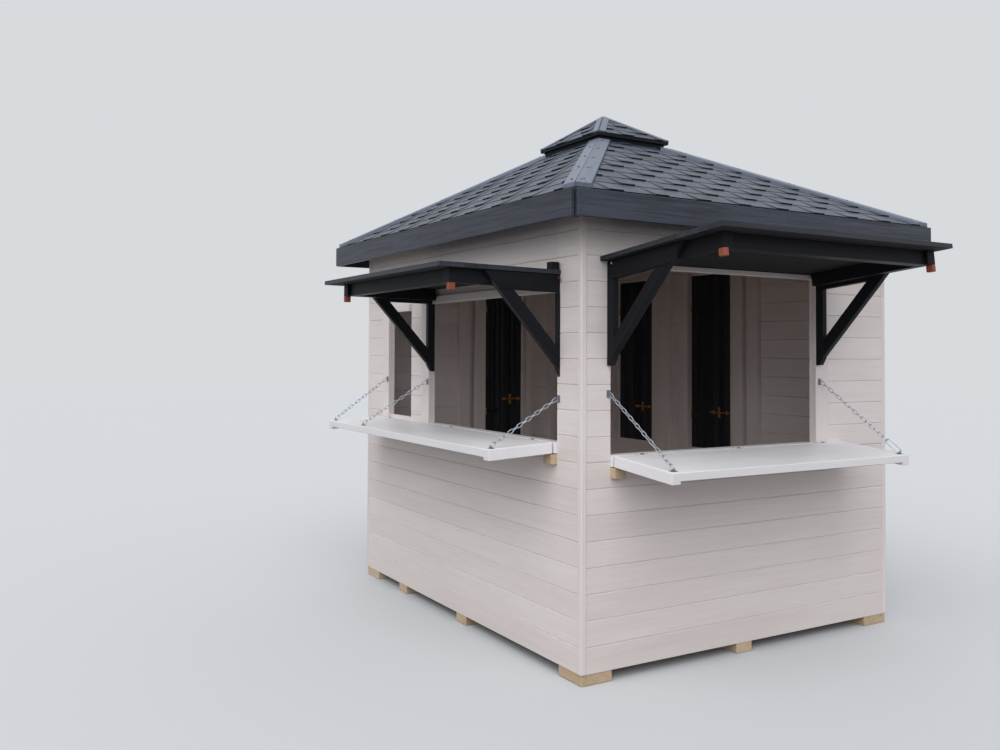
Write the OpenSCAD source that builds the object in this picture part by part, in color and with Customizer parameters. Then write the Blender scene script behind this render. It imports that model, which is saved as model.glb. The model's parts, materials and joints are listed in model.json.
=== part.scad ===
// Wooden market hut: a boarded hut on foot blocks, with a pyramid roof and a small raised cap roof,
// serving openings under raised black shutters, and fold-up counters held by chains.
// Millimetres. The front wall faces -Y, the left wall faces -X, and the ground is at z = 0.

/* [Hut] */
// Outer width of the hut along the front wall
hut_w = 2420; // [2150:10:3000]
// Outer depth of the hut along the left wall
hut_d = 2700; // [2400:10:3300]
// Thickness of the wall boards
board_t = 28; // [22:1:40]
// Cover height of one wall board
course = 135; // [131:1:150]
// Boards in the height of a wall
courses = 18; // [18:1:20]
// Width of the wall studs and plates, along the wall
stud_w = 60; // [40:5:80]
// Depth of the wall studs and plates, into the hut
stud_t = 45; // [30:5:70]
// Width of the jamb posts beside the hatches
jamb_w = 100; // [60:5:110]
// How far the corner strips stand proud of the boards
corner_out = 4; // [2:1:10]

/* [Base] */
// Height of the foot blocks
foot_h = 60; // [40:5:120]
// Side of a corner foot block
foot_corner = 200; // [120:10:260]
// Width of the middle foot blocks along the wall
foot_mid = 120; // [80:10:200]
// Depth of the middle foot blocks, inwards
foot_in = 180; // [120:10:260]
// Place of the middle foot of the front wall, as a share of the width
front_foot_share = 0.457; // [0.35:0.001:0.6]
// Height of the floor bearers
bearer_h = 70; // [50:5:120]
// Width of the floor bearers
bearer_w = 60; // [45:5:90]
// Thickness of the floor boards
floor_t = 22; // [16:1:32]

/* [Roof] */
// Overhang of the fascia boards beyond the walls
eave_over = 208; // [160:4:300]
// Height of the roof edge above the top of the walls
eave_lift = 38; // [30:1:90]
// Rise of the roof from its edge to its point
roof_rise = 760; // [600:2:1100]
// Thickness of the roof boards, measured upright
roof_t = 26; // [20:1:36]
// Height of the fascia boards
fascia_h = 140; // [80:4:160]
// Thickness of the fascia boards
fascia_t = 24; // [18:1:40]
// How far the top of the fascia boards lies under the roof edge
fascia_drop = 8; // [2:1:20]
// Width of each hip board along the eave
hip_board_w = 100; // [60:5:140]
// Thickness of the hip boards, measured upright
hip_board_t = 24; // [16:1:40]
// Width of the hip rafters
rafter_w = 45; // [35:5:70]
// Height of the hip rafters
rafter_h = 90; // [60:5:120]
// Share of the roof's plan that the cap roof covers
cap_share = 0.22; // [0.17:0.005:0.3]
// Thickness of the cap's boards, measured upright
cap_t = 20; // [16:1:30]
// Gap under the edge of the cap, above the roof
cap_gap = 44; // [10:1:60]
// Overhang of the cap beyond its neck
cap_over = 40; // [20:5:60]
// Rise of the cap from its edge to its point
cap_rise = 210; // [140:5:300]

/* [Serving openings] */
// Distance of the front opening from the left corner
front_open_x = 187; // [150:1:400]
// Width of the front wall to the right of its opening
front_right_w = 670; // [400:5:900]
// Height of the front opening's sill board above the wall bottom
front_sill_z = 1090; // [1000:5:1180]
// Height of the front opening's head above the wall bottom
front_head_z = 2105; // [1900:5:2110]
// Distance of the left wide opening from the near corner
left_open_y = 215; // [150:5:400]
// Width of the left wall beyond its narrow opening
left_far_w = 400; // [300:1:600]
// Height of the left openings' sill board above the wall bottom
left_sill_z = 1148; // [1000:4:1160]
// Height of the left wide opening's head above the wall bottom
left_head_z = 1977; // [1965:1:2050]
// Width of the boarded pier between the left openings, with its casing
left_pier_w = 300; // [270:1:400]
// Width of the narrow left opening
narrow_w = 335; // [240:5:400]
// Height of the narrow opening's sill above the wall bottom
narrow_sill_z = 1195; // [1190:5:1300]
// Height of the narrow opening's head above the wall bottom
narrow_head_z = 1940; // [1700:5:1960]
// Width of the flat casing boards
casing_w = 110; // [60:5:120]
// Thickness of the casing boards and the rails under the sills
casing_t = 20; // [14:1:30]
// Height of the head boards over the openings
head_h = 48; // [30:2:48]
// Thickness of the sill boards
sill_t = 25; // [20:1:35]
// Overhang of the sill boards into the hut, past the boards
sill_in = 30; // [10:5:60]
// Height of the hatches' sills above the wall bottom
hatch_sill_z = 900; // [700:10:1000]
// Height of the hatches' heads above the wall bottom
hatch_head_z = 2280; // [1950:10:2300]
// Width of the hatches in the right wall
hatch_w = 414; // [300:2:420]
// Width of the hatch in the back wall
back_hatch_w = 352; // [300:2:420]
// Width of the entrance opening in the back wall
door_w = 620; // [600:10:760]
// Height of the entrance opening
door_h = 1890; // [1800:10:2000]
// Thickness of the door and of the hatch leaves
leaf_t = 22; // [16:1:25]

/* [Canopies] */
// Reach of the front canopy past the left side of its opening
front_canopy_near = 70; // [50:1:120]
// Reach of the front canopy past the right side of its opening
front_canopy_far = 37; // [37:1:200]
// Depth of the front canopy
front_canopy_d = 860; // [650:4:1000]
// Height of the front canopy's top at the wall, above the opening's head
front_canopy_lift = 51; // [45:1:80]
// Upward tilt of the front canopy
front_canopy_tilt = 5.6; // [0:0.2:8]
// Reach of the left canopy past the near side of its opening
left_canopy_near = 31; // [25:1:120]
// Reach of the left canopy past the far side of its opening
left_canopy_far = 80; // [20:1:200]
// Depth of the left canopy
left_canopy_d = 738; // [600:2:1000]
// Height of the left canopy's top at the wall, above the opening's head
left_canopy_lift = 117; // [60:1:130]
// Upward tilt of the left canopy
left_canopy_tilt = 0.8; // [0:0.2:6]
// Thickness of the canopy boards
canopy_board_t = 24; // [18:1:25]
// Height of the canopy frame's rails
canopy_rail_h = 75; // [50:5:90]
// Width of the canopy frame's rails
canopy_rail_w = 60; // [40:5:70]
// Overlap of the canopy boards beyond the frame's front
canopy_lip = 80; // [20:5:100]
// Setback of the front beam from the ends of the rails
beam_back = 20; // [5:5:40]
// Width of the wooden pegs under the rails' ends
peg_w = 28; // [20:1:40]
// Depth of the wooden pegs
peg_d = 38; // [25:1:50]
// Height of the wooden pegs
peg_h = 38; // [25:1:60]

/* [Brackets] */
// Thickness of the bracket timbers along the wall
bracket_w = 36; // [24:2:48]
// Depth of the bracket posts, out from the wall
bracket_t = 50; // [40:2:70]
// Width of the brace
brace_w = 67; // [45:1:80]
// Height of a bracket's top rail
bracket_rail_h = 95; // [70:5:110]
// Distance from the wall at which the front braces meet their rails
front_bracket_reach = 465; // [380:5:560]
// Distance from the wall at which the left braces meet their rails
left_bracket_reach = 425; // [380:5:560]
// Drop of the bracket posts below the canopy, front and left
bracket_drop = 547; // [500:1:547]
// Height of a brace's foot above the lower end of its post
brace_foot = 50; // [50:5:90]
// How far the near bracket of the left canopy stands out from the boards it is let into
let_in_out = 8; // [4:1:30]
// How far the near brackets reach over the opening
bracket_over = 12; // [4:1:18]

/* [Counters] */
// Reach of the front counter, out from the wall
front_counter_reach = 470; // [380:5:475]
// Reach of the left counter, out from the wall
left_counter_reach = 430; // [380:5:460]
// Thickness of the counter boards
counter_t = 43; // [28:1:50]
// Height of the battens under the counters' ends
batten_h = 16; // [10:1:30]
// Width of the battens under the counters' ends
batten_w = 55; // [40:5:90]
// Reach of the front counter past the right side of its opening
front_counter_far = 237; // [130:1:300]
// Reach of the left counter past the far side of the narrow opening
left_counter_far = 135; // [120:1:200]
// Droop of the front counter towards its outer edge, in degrees
front_droop = 5; // [0:0.5:6]
// Droop of the left counter towards its outer edge, in degrees
left_droop = 3; // [0:0.5:6]
// Width of the cleats under the counters' ends
cleat_w = 74; // [50:2:100]
// Depth of the cleats
cleat_d = 38; // [25:1:50]
// Height of the cleats
cleat_h = 54; // [40:2:80]
// Outer diameter of the hinge knuckles
knuckle_d = 9; // [8:0.5:10]
// Diameter of the hinge pins
pin_d = 4; // [3:0.5:5]
// Length of a counter hinge
hinge_l = 80; // [60:5:120]

/* [Chains] */
// Thickness of the wire of a chain link
wire_d = 5; // [4:0.5:6]
// Pitch of the chain links
link_pitch = 30; // [26:1:40]
// Outer width of a chain link
link_w = 22; // [20:1:28]
// Height of the front wall's near hook above the counter's top
front_hook_rise = 322; // [280:2:360]
// Height of the left wall's near hook above the counter's top
left_hook_rise = 232; // [210:2:280]
// How much higher the hooks on the casings are than the near hooks
hook_step = 47; // [0:1:60]
// Distance of the chain eyes from a counter's edges
eye_in = 38; // [30:1:60]
// Distance of the left counter's middle eye past the wide opening
eye_past = 235; // [150:5:300]
// Width of the plates behind the hooks
plate_w = 22; // [16:1:30]
// Length of the plates behind the hooks and under the eyes
plate_l = 40; // [30:1:60]

/* [Hidden] */

paint_white = [0.83, 0.81, 0.80];
paint_black = [0.06, 0.065, 0.08];
raw_pine = [0.76, 0.60, 0.42];
roof_grey = [0.16, 0.17, 0.19];
zinc = [0.70, 0.72, 0.75];
copper = [0.72, 0.33, 0.17];
brass = [0.72, 0.48, 0.20];

// Clearances: between solids that share a node, round the leaves, and at the hinges
join_gap = 1;
leaf_gap = 3;
hinge_clear = 7;
bore_play = 0.8;
link_play = 0.8;
cut = 1;

// Walls and openings
wall_h = course * courses;
mid_x = hut_w / 2;
mid_y = hut_d / 2;
side_y = board_t;
side_end = hut_d - board_t;
front_open_end = hut_w - front_right_w;
front_open_w = front_open_end - front_open_x;
narrow_end = hut_d - left_far_w;
narrow_y = narrow_end - narrow_w;
left_open_end = narrow_y - left_pier_w;
left_open_w = left_open_end - left_open_y;
floor_z = bearer_h + floor_t;
post_h = wall_h - stud_w - floor_z;
foot_flush = 3;
left_foot_shares = [0.44, 0.75];

// Hatches and the entrance, on the walls that the photo shows from inside only
door_side = 80;
door_x = hut_w - door_side - door_w;
door_space = 270;
post_space = 40;
back_jamb_in = 24;
right_jamb_in = 57;
pair_gap = 45;
opening_post_in = 85;
back_hatch_x = door_x - stud_w - door_space - back_hatch_w;
far_hatch_y = side_end - stud_t - post_space - hatch_w;
hatch_pier = 473;
right_hatches = [far_hatch_y - hatch_pier - hatch_w, far_hatch_y];
bolt_z = 1180;
back_bolt_z = 1250;
bolt_l = 120;
bolt_w = 30;
bolt_d = 12;
strap_l = 110;
strap_w = 34;
strap_t = 4;
strap_in = 250;

// Counters
front_top = front_sill_z + sill_t;
left_top = left_sill_z + sill_t;
front_counter_w = front_open_w + front_counter_far;
left_counter_w = narrow_end + left_counter_far - left_open_y;
hinge_out = casing_t + hinge_clear;
counter_in = hinge_out + hinge_clear;
rail_h = counter_t + batten_h;
cleat_gap = 6;
hinge_plate_t = 3;
hinge_plate_h = 30;
hinge_end_in = 150;
tab_h = knuckle_d / 2 + cut;

// Canopies and brackets
front_canopy_z = front_head_z + front_canopy_lift;
left_canopy_z = left_head_z + left_canopy_lift;
front_canopy_w = front_canopy_near + front_open_w + front_canopy_far;
left_canopy_w = left_canopy_near + left_open_w + left_canopy_far;
post_chamfer_w = 25;
post_chamfer_h = 45;
frame_in = casing_t + 4;
far_bracket_in = 15;
front_near = front_open_x + bracket_over;
left_near = left_open_y + bracket_over;
left_far = left_open_end - bracket_w - far_bracket_in;
let_in = bracket_t - let_in_out;
let_in_low = left_canopy_z - canopy_board_t - bracket_drop;
let_in_high = left_canopy_z - canopy_board_t / cos(left_canopy_tilt) - join_gap - bracket_rail_h;

// Chains: each hook's place along its wall, distance from it and height, and the eyes' places
ring_r = 12;
ring_wire = 3.5;
ring_play = 1.2;
plate_t = 3;
eye_plate_t = 2;
hook_in = plate_w / 2 + 3;
hook_over = 30;
left_hook_over = 12;
front_hooks = [[front_open_x - hook_in, 0, front_top + front_hook_rise],
    [front_open_end + hook_over, casing_t, front_top + front_hook_rise + hook_step]];
left_hooks = [[left_open_y - hook_in, 0, left_top + left_hook_rise],
    [left_open_end + left_hook_over, casing_t, left_top + left_hook_rise + hook_step],
    [narrow_end + left_hook_over, casing_t, left_top + left_hook_rise + hook_step]];
front_eyes = [front_open_x + eye_in, front_open_x + front_counter_w - eye_in];
left_eyes = [left_open_y + eye_in, left_open_end + eye_past,
    left_open_y + left_counter_w - eye_in];

// Roof
half_x = mid_x + eave_over - fascia_t - join_gap;
half_y = mid_y + eave_over - fascia_t - join_gap;
eave_z = wall_h + eave_lift;
apex_z = eave_z + roof_rise;
hip_start = 0.01;
rafter_tail = 170;
rafter_head = 60;

// Place of the object's box round the origin
function canopy_reach(deep, tilt) = deep * cos(tilt) + canopy_board_t * sin(tilt);
reach_x = max(canopy_reach(left_canopy_d, left_canopy_tilt), eave_over);
reach_y = max(canopy_reach(front_canopy_d, front_canopy_tilt), eave_over);
box_x = (hut_w + eave_over - reach_x) / 2;
box_y = (hut_d + eave_over - reach_y) / 2;

// Puts the hut's near corner and wall bottom where the whole object's box is centred on the origin.
module placed() {
    translate([-box_x, -box_y, foot_h]) children();
}

// Draws round the middle of the hut's plan.
module centred() {
    placed() translate([mid_x, mid_y, 0]) children();
}

// Things of the left wall are drawn as on a wall along +X and then turned to the left wall.
module on_left_wall() {
    mirror([1, -1, 0]) children();
}

// A slab with its low corner and its size.
module slab(at, size) {
    translate(at) cube(size);
}

// Base

module foot_blocks() color(raw_pine) placed() {
    near = foot_flush;
    for (x = [near, hut_w - near - foot_corner], y = [near, hut_d - near - foot_corner])
        slab([x, y, -foot_h], [foot_corner, foot_corner, foot_h]);
    for (y = [near, hut_d - near - foot_in])
        slab([hut_w * front_foot_share, y, -foot_h], [foot_mid, foot_in, foot_h]);
    for (x = [near, hut_w - near - foot_in], share = left_foot_shares)
        slab([x, hut_d * share, -foot_h], [foot_in, foot_mid, foot_h]);
    slab([mid_x - foot_mid / 2, mid_y - foot_mid / 2, -foot_h], [foot_mid, foot_mid, foot_h]);
}

module floor_bearers() color(raw_pine) placed() {
    for (y = [side_y, mid_y - bearer_w / 2, side_end - bearer_w])
        slab([board_t, y, 0], [hut_w - 2 * board_t, bearer_w, bearer_h]);
}

module floor_boards() color(raw_pine) placed()
    slab([board_t, side_y, bearer_h], [hut_w - 2 * board_t, side_end - side_y, floor_t]);

// Walls

module front_wall_lower() color(paint_white) placed()
    slab([board_t, 0, 0], [hut_w - 2 * board_t, board_t, front_sill_z]);

module front_wall_left() color(paint_white) placed()
    slab([board_t, 0, front_sill_z], [front_open_x - board_t, board_t, wall_h - front_sill_z]);

module front_wall_right() color(paint_white) placed()
    slab([front_open_end, 0, front_sill_z],
        [front_right_w - board_t, board_t, wall_h - front_sill_z]);

module front_wall_top() color(paint_white) placed()
    slab([front_open_x, 0, front_head_z], [front_open_w, board_t, wall_h - front_head_z]);

module left_wall_lower() color(paint_white) placed()
    slab([0, side_y, 0], [board_t, side_end - side_y, left_sill_z]);

// The boards stop short of the bracket post that is let in beside the opening.
module left_wall_near() color(paint_white) placed() difference() {
    slab([0, side_y, left_sill_z], [board_t, left_open_y - side_y, wall_h - left_sill_z]);
    slab([-cut, left_near - bracket_w - join_gap, let_in_low - join_gap],
        [board_t + 2 * cut, bracket_w + join_gap, let_in_high - let_in_low + join_gap]);
}

module left_wall_pier() color(paint_white) placed()
    slab([0, left_open_end, left_sill_z], [board_t, left_pier_w, left_head_z - left_sill_z]);

module left_wall_far() color(paint_white) placed()
    slab([0, narrow_end, left_sill_z],
        [board_t, side_end - narrow_end, left_head_z - left_sill_z]);

module left_wall_top() color(paint_white) placed()
    slab([0, left_open_y, left_head_z], [board_t, side_end - left_open_y, wall_h - left_head_z]);

// The boards under and over the narrow opening.
module narrow_fillers() color(paint_white) placed() {
    slab([0, narrow_y, left_sill_z], [board_t, narrow_w, narrow_sill_z - left_sill_z]);
    slab([0, narrow_y, narrow_head_z], [board_t, narrow_w, left_head_z - narrow_head_z]);
}

module back_wall() color(paint_white) placed() difference() {
    slab([board_t, side_end, 0], [hut_w - 2 * board_t, board_t, wall_h]);
    slab([back_hatch_x, side_end - cut, hatch_sill_z],
        [back_hatch_w, board_t + 2 * cut, hatch_head_z - hatch_sill_z]);
    slab([door_x, side_end - cut, floor_z], [door_w, board_t + 2 * cut, door_h]);
}

module right_wall() color(paint_white) placed() difference() {
    slab([hut_w - board_t, side_y, 0], [board_t, side_end - side_y, wall_h]);
    for (y = right_hatches) slab([hut_w - board_t - cut, y, hatch_sill_z],
        [board_t + 2 * cut, hatch_w, hatch_head_z - hatch_sill_z]);
}

// A square strip stands in each corner, and the boards of both walls end at it.
module corner_strips() color(paint_white) placed() {
    side = board_t + corner_out;
    for (x = [-corner_out, hut_w - board_t], y = [-corner_out, side_end])
        slab([x, y, 0], [side, side, wall_h]);
}

module wall_posts() color(raw_pine) placed() {
    for (x = [board_t, hut_w - board_t - stud_t], y = [side_y, side_end - stud_t])
        slab([x, y, floor_z], [stud_t, stud_t, post_h]);
    for (y = [left_open_end + (left_pier_w - stud_w) / 2, narrow_end + opening_post_in])
        slab([board_t, y, floor_z], [stud_t, stud_w, post_h]);
    slab([front_open_end + opening_post_in, side_y, floor_z], [stud_w, stud_t, post_h]);
    back_jamb = back_hatch_x - back_jamb_in - jamb_w;
    for (x = [door_x - stud_w, back_hatch_x + back_hatch_w + back_jamb_in])
        slab([x, side_end - stud_t, floor_z], [stud_w, stud_t, post_h]);
    for (x = [back_jamb, back_jamb - pair_gap - jamb_w])
        slab([x, side_end - stud_t, floor_z], [jamb_w, stud_t, post_h]);
    near_jamb = right_hatches[0] - right_jamb_in - jamb_w;
    far_jamb = right_hatches[1] - right_jamb_in - jamb_w;
    for (y = [near_jamb - pair_gap - jamb_w, near_jamb, right_hatches[0] + hatch_w,
            far_jamb - join_gap - jamb_w, far_jamb])
        slab([hut_w - board_t - stud_t, y, floor_z], [stud_t, jamb_w, post_h]);
}

module top_plates() color(raw_pine) placed() {
    z = wall_h - stud_w;
    for (y = [side_y, side_end - stud_t])
        slab([board_t, y, z], [hut_w - 2 * board_t, stud_t, stud_w]);
    for (x = [board_t, hut_w - board_t - stud_t])
        slab([x, side_y + stud_t + join_gap, z],
            [stud_t, side_end - side_y - 2 * stud_t - 2 * join_gap, stud_w]);
}

// Casings, sills and rails

// A flat casing board beside an opening and a head board over it, which stays under what is at
// over_z. The head board starts clear of the near bracket.
module casing(start, end, low_z, head_z, over_z) {
    high = min(head_h, over_z - head_z);
    slab([end, -casing_t, low_z], [casing_w, casing_t, head_z - low_z - join_gap]);
    slab([start, -casing_t, head_z], [end + casing_w - start, casing_t, high]);
}

module opening_casings() color(paint_white) placed() {
    casing(front_open_x + bracket_over + join_gap, front_open_end, front_top, front_head_z,
        front_canopy_z - canopy_board_t - 2 * join_gap);
    on_left_wall() {
        casing(left_open_y + bracket_over + join_gap, left_open_end, left_top, left_head_z,
            left_canopy_z - canopy_board_t - 2 * join_gap);
        casing(narrow_y, narrow_end, left_top, narrow_head_z, wall_h);
    }
}

module sill_boards() color(paint_white) placed() {
    slab([front_open_x, 0, front_sill_z], [front_open_w, board_t + sill_in, sill_t]);
    on_left_wall()
        slab([left_open_y, 0, left_sill_z], [left_open_w, board_t + sill_in, sill_t]);
}

// The rails that carry the counters' hinges, with their tops level with the sills.
module hinge_rails() color(paint_white) placed() {
    slab([front_open_x, -casing_t, front_top - rail_h], [front_counter_w, casing_t, rail_h]);
    on_left_wall()
        slab([left_open_y, -casing_t, left_top - rail_h], [left_counter_w, casing_t, rail_h]);
}

// Canopies

// Turns a canopy up about its top edge at the wall.
module tilted(z, tilt) {
    translate([0, 0, z]) rotate([-tilt, 0, 0]) children();
}

module canopy_panel(at, wide, deep, z, tilt) {
    tilted(z, tilt) slab([at, -deep, -canopy_board_t], [wide, deep, canopy_board_t]);
}

// Two rails lie inside the brackets, and a beam joins them near the front.
module canopy_frame(near, far, deep, z, tilt) {
    front = deep - canopy_lip;
    back = frame_in + (canopy_board_t + canopy_rail_h) * sin(tilt);
    low = -canopy_board_t - canopy_rail_h;
    inner = near + join_gap + canopy_rail_w;
    tilted(z, tilt) {
        for (x = [near + join_gap, far - join_gap - canopy_rail_w])
            slab([x, -front, low], [canopy_rail_w, front - back, canopy_rail_h]);
        slab([inner + join_gap, -front + beam_back, low],
            [far - near - 2 * canopy_rail_w - 4 * join_gap, canopy_rail_w, canopy_rail_h]);
    }
}

module pegs(near, far, deep, z, tilt) {
    low = -canopy_board_t - canopy_rail_h - peg_h;
    tilted(z, tilt) for (x = [near + join_gap, far - join_gap - peg_w])
        slab([x, -deep + canopy_lip, low], [peg_w, peg_d, peg_h]);
}

module canopy_boards() color(paint_black) placed() {
    canopy_panel(front_open_x - front_canopy_near, front_canopy_w, front_canopy_d,
        front_canopy_z, front_canopy_tilt);
    on_left_wall() canopy_panel(left_open_y - left_canopy_near, left_canopy_w, left_canopy_d,
        left_canopy_z, left_canopy_tilt);
}

module canopy_frames() color(paint_black) placed() {
    canopy_frame(front_near, front_open_end, front_canopy_d, front_canopy_z, front_canopy_tilt);
    on_left_wall()
        canopy_frame(left_near, left_far, left_canopy_d, left_canopy_z, left_canopy_tilt);
}

module canopy_pegs() color(copper) placed() {
    pegs(front_near, front_open_end, front_canopy_d, front_canopy_z, front_canopy_tilt);
    on_left_wall() pegs(left_near, left_far, left_canopy_d, left_canopy_z, left_canopy_tilt);
}

// A bracket seen from its side, in distance from the wall and height: a post, a top rail under the
// canopy and a brace whose lower edge runs on over the rail's end.
module bracket(at, post_back, rail_back, canopy_z, tilt, reach) {
    slope = tan(tilt);
    top_z = canopy_z - canopy_board_t / cos(tilt) - join_gap;
    low_z = canopy_z - canopy_board_t - bracket_drop;
    face = post_back + bracket_t;
    foot_z = low_z + brace_foot;
    function top(s) = top_z + s * slope;
    function under(s) = top(s) - bracket_rail_h;
    rise = (under(reach) - foot_z) / (reach - face);
    thick = brace_w * sqrt(1 + rise * rise);
    end = (top_z - foot_z + face * rise) / (rise - slope);
    upper = (top_z - bracket_rail_h - foot_z - thick + face * rise) / (rise - slope);
    start = face + join_gap;
    translate([at + bracket_w, 0, 0]) rotate([90, 0, -90]) linear_extrude(bracket_w) {
        polygon([[post_back, low_z], [face - post_chamfer_w, low_z],
            [face, low_z + post_chamfer_h], [face, under(face) - join_gap],
            [post_back, under(post_back) - join_gap]]);
        polygon([[rail_back, under(rail_back)], [reach, under(reach)], [end, top(end)],
            [rail_back, top(rail_back)]]);
        polygon([[start, foot_z + join_gap * rise], [reach, under(reach) - join_gap],
            [upper, under(upper) - join_gap], [start, foot_z + thick + join_gap * rise]]);
    }
}

module canopy_brackets() color(paint_black) placed() {
    bracket(front_near - bracket_w, 0, 0, front_canopy_z, front_canopy_tilt, front_bracket_reach);
    bracket(front_open_end, casing_t, casing_t, front_canopy_z, front_canopy_tilt,
        front_bracket_reach);
    on_left_wall() {
        bracket(left_near - bracket_w, -let_in, 0, left_canopy_z, left_canopy_tilt,
            left_bracket_reach - let_in);
        bracket(left_far, 0, casing_t, left_canopy_z, left_canopy_tilt, left_bracket_reach);
    }
}

// Counters

// Turns a counter and what it carries down about its hinge pins.
module drooped(top_z, droop) {
    translate([0, -hinge_out, top_z]) rotate([droop, 0, 0])
        translate([0, hinge_out, 0]) children();
}

module counter(at, wide, reach) {
    slab([at, -reach, -counter_t], [wide, reach - counter_in, counter_t]);
    for (x = [at, at + wide - batten_w])
        slab([x, -reach, -rail_h], [batten_w, reach - counter_in, batten_h + cut]);
}

module front_counter() color(paint_white) placed()
    drooped(front_top, front_droop) counter(front_open_x, front_counter_w, front_counter_reach);

module left_counter() color(paint_white) placed() on_left_wall()
    drooped(left_top, left_droop) counter(left_open_y, left_counter_w, left_counter_reach);

module cleats(at, wide, top_z) {
    for (x = [at, at + wide - cleat_w])
        slab([x, -cleat_d, top_z - rail_h - cleat_gap - cleat_h], [cleat_w, cleat_d, cleat_h]);
}

module counter_cleats() color(raw_pine) placed() {
    cleats(front_open_x, front_counter_w, front_top);
    on_left_wall() cleats(left_open_y, left_counter_w, left_top);
}

// Where the hinges of a counter stand along it.
function hinge_places(at, wide) =
    [at + hinge_end_in, at + wide / 2 - hinge_l / 2, at + wide - hinge_end_in - hinge_l];

module along(x) {
    translate([x, -hinge_out, 0]) rotate([0, 90, 0]) children();
}

// The half of a hinge on the wall: a plate on the rail, two knuckles and the pin.
module fixed_half(x, top_z) translate([0, 0, top_z]) {
    third = hinge_l / 3;
    slab([x, -casing_t - hinge_plate_t, -hinge_plate_h],
        [hinge_l, hinge_plate_t, hinge_plate_h - tab_h]);
    for (start = [x, x + 2 * third + join_gap]) {
        along(start) cylinder(d = knuckle_d, h = third - join_gap, $fn = 48);
        slab([start, -casing_t - hinge_plate_t, -tab_h - cut],
            [third - join_gap, hinge_plate_t, tab_h + cut]);
    }
    along(x) cylinder(d = pin_d, h = hinge_l, $fn = 48);
}

// The half on the counter: a plate on its inner edge and the middle knuckle round the pin.
module moving_half(x) {
    third = hinge_l / 3;
    slab([x, -counter_in, -hinge_plate_h], [hinge_l, hinge_plate_t, hinge_plate_h - tab_h]);
    difference() {
        union() {
            along(x + third) cylinder(d = knuckle_d, h = third, $fn = 48);
            slab([x + third, -counter_in, -tab_h - cut], [third, hinge_plate_t, tab_h + cut]);
        }
        along(x + third - cut) cylinder(d = pin_d + bore_play, h = third + 2 * cut, $fn = 48);
    }
}

module counter_hinges() color(zinc) placed() {
    for (x = hinge_places(front_open_x, front_counter_w)) fixed_half(x, front_top);
    on_left_wall()
        for (y = hinge_places(left_open_y, left_counter_w)) fixed_half(y, left_top);
}

// Half a ring of wire that stands on its plate and opens along X.
module ring() {
    rotate_extrude(angle = 180, $fn = 32) translate([ring_r, 0]) circle(d = ring_wire, $fn = 16);
}

module eye(x, reach) translate([x, -reach + eye_in, 0]) {
    slab([-plate_l / 2, -plate_w / 2, 0], [plate_l, plate_w, eye_plate_t]);
    translate([0, 0, eye_plate_t - cut / 2]) rotate([90, 0, 0]) ring();
}

module front_counter_fittings() color(zinc) placed() drooped(front_top, front_droop) {
    for (x = hinge_places(front_open_x, front_counter_w)) moving_half(x);
    for (x = front_eyes) eye(x, front_counter_reach);
}

module left_counter_fittings() color(zinc) placed() on_left_wall() drooped(left_top, left_droop) {
    for (y = hinge_places(left_open_y, left_counter_w)) moving_half(y);
    for (y = left_eyes) eye(y, left_counter_reach);
}

// Chains

// One link lies along +X, its wire centred on the origin. Its neighbours lie a pitch away.
module link(pitch) {
    bend_r = (link_w - wire_d) / 2;
    straight = pitch + wire_d + link_play - 2 * bend_r;
    for (side = [0, 1]) rotate([0, 0, 180 * side]) {
        translate([straight / 2, 0, 0]) rotate([0, 0, -90])
            rotate_extrude(angle = 180, $fn = 24) translate([bend_r, 0]) circle(d = wire_d, $fn = 16);
        translate([-straight / 2, bend_r, 0]) rotate([0, 90, 0])
            cylinder(d = wire_d, h = straight, $fn = 16);
    }
}

// A straight chain between the wires of two rings. Each link is turned a quarter from the one
// before, and an odd number of links puts both end links square across their rings.
module chain(from, to) {
    run = to - from;
    past = ring_wire / 2 + ring_play;
    long = norm(run) + 2 * past;
    links = 2 * round((long / link_pitch - 1) / 2) + 1;
    pitch = long / links;
    translate(from - run / norm(run) * past)
        rotate([0, -asin(run[2] / norm(run)), atan2(run[1], run[0])])
            for (i = [0 : links - 1])
                translate([pitch * (i + 0.5), 0, 0]) rotate([90 * (i % 2) + 90, 0, 0]) link(pitch);
}

// The wire of a hook's ring, and the wire of an eye's ring on the drooped counter.
function hook_ring(hook) = [hook[0], -hook[1] - plate_t + cut / 2 - ring_r, hook[2]];

function eye_ring(x, top_z, reach, droop) =
    let (out = reach - eye_in - hinge_out, up = eye_plate_t - cut / 2 + ring_r)
    [x, -hinge_out - out * cos(droop) - up * sin(droop),
        top_z - out * sin(droop) + up * cos(droop)];

module front_chains() color(zinc) placed() for (i = [0 : len(front_hooks) - 1])
    chain(hook_ring(front_hooks[i]),
        eye_ring(front_eyes[i], front_top, front_counter_reach, front_droop));

module left_chains() color(zinc) placed() on_left_wall() for (i = [0 : len(left_hooks) - 1])
    chain(hook_ring(left_hooks[i]),
        eye_ring(left_eyes[i], left_top, left_counter_reach, left_droop));

module hook(place) translate([place[0], -place[1], place[2]]) {
    slab([-plate_w / 2, -plate_t, -plate_l / 2], [plate_w, plate_t, plate_l]);
    translate([0, -plate_t + cut / 2, 0]) rotate([0, 0, 180]) ring();
}

module chain_hooks() color(zinc) placed() {
    for (place = front_hooks) hook(place);
    on_left_wall() for (place = left_hooks) hook(place);
}

// Hatches and the entrance door

module hatch_leaves() color(paint_black) placed() {
    high = hatch_head_z - hatch_sill_z - 2 * leaf_gap;
    z = hatch_sill_z + leaf_gap;
    slab([back_hatch_x + leaf_gap, side_end, z], [back_hatch_w - 2 * leaf_gap, leaf_t, high]);
    for (y = right_hatches) slab([hut_w - board_t, y + leaf_gap, z],
        [leaf_t, hatch_w - 2 * leaf_gap, high]);
}

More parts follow.
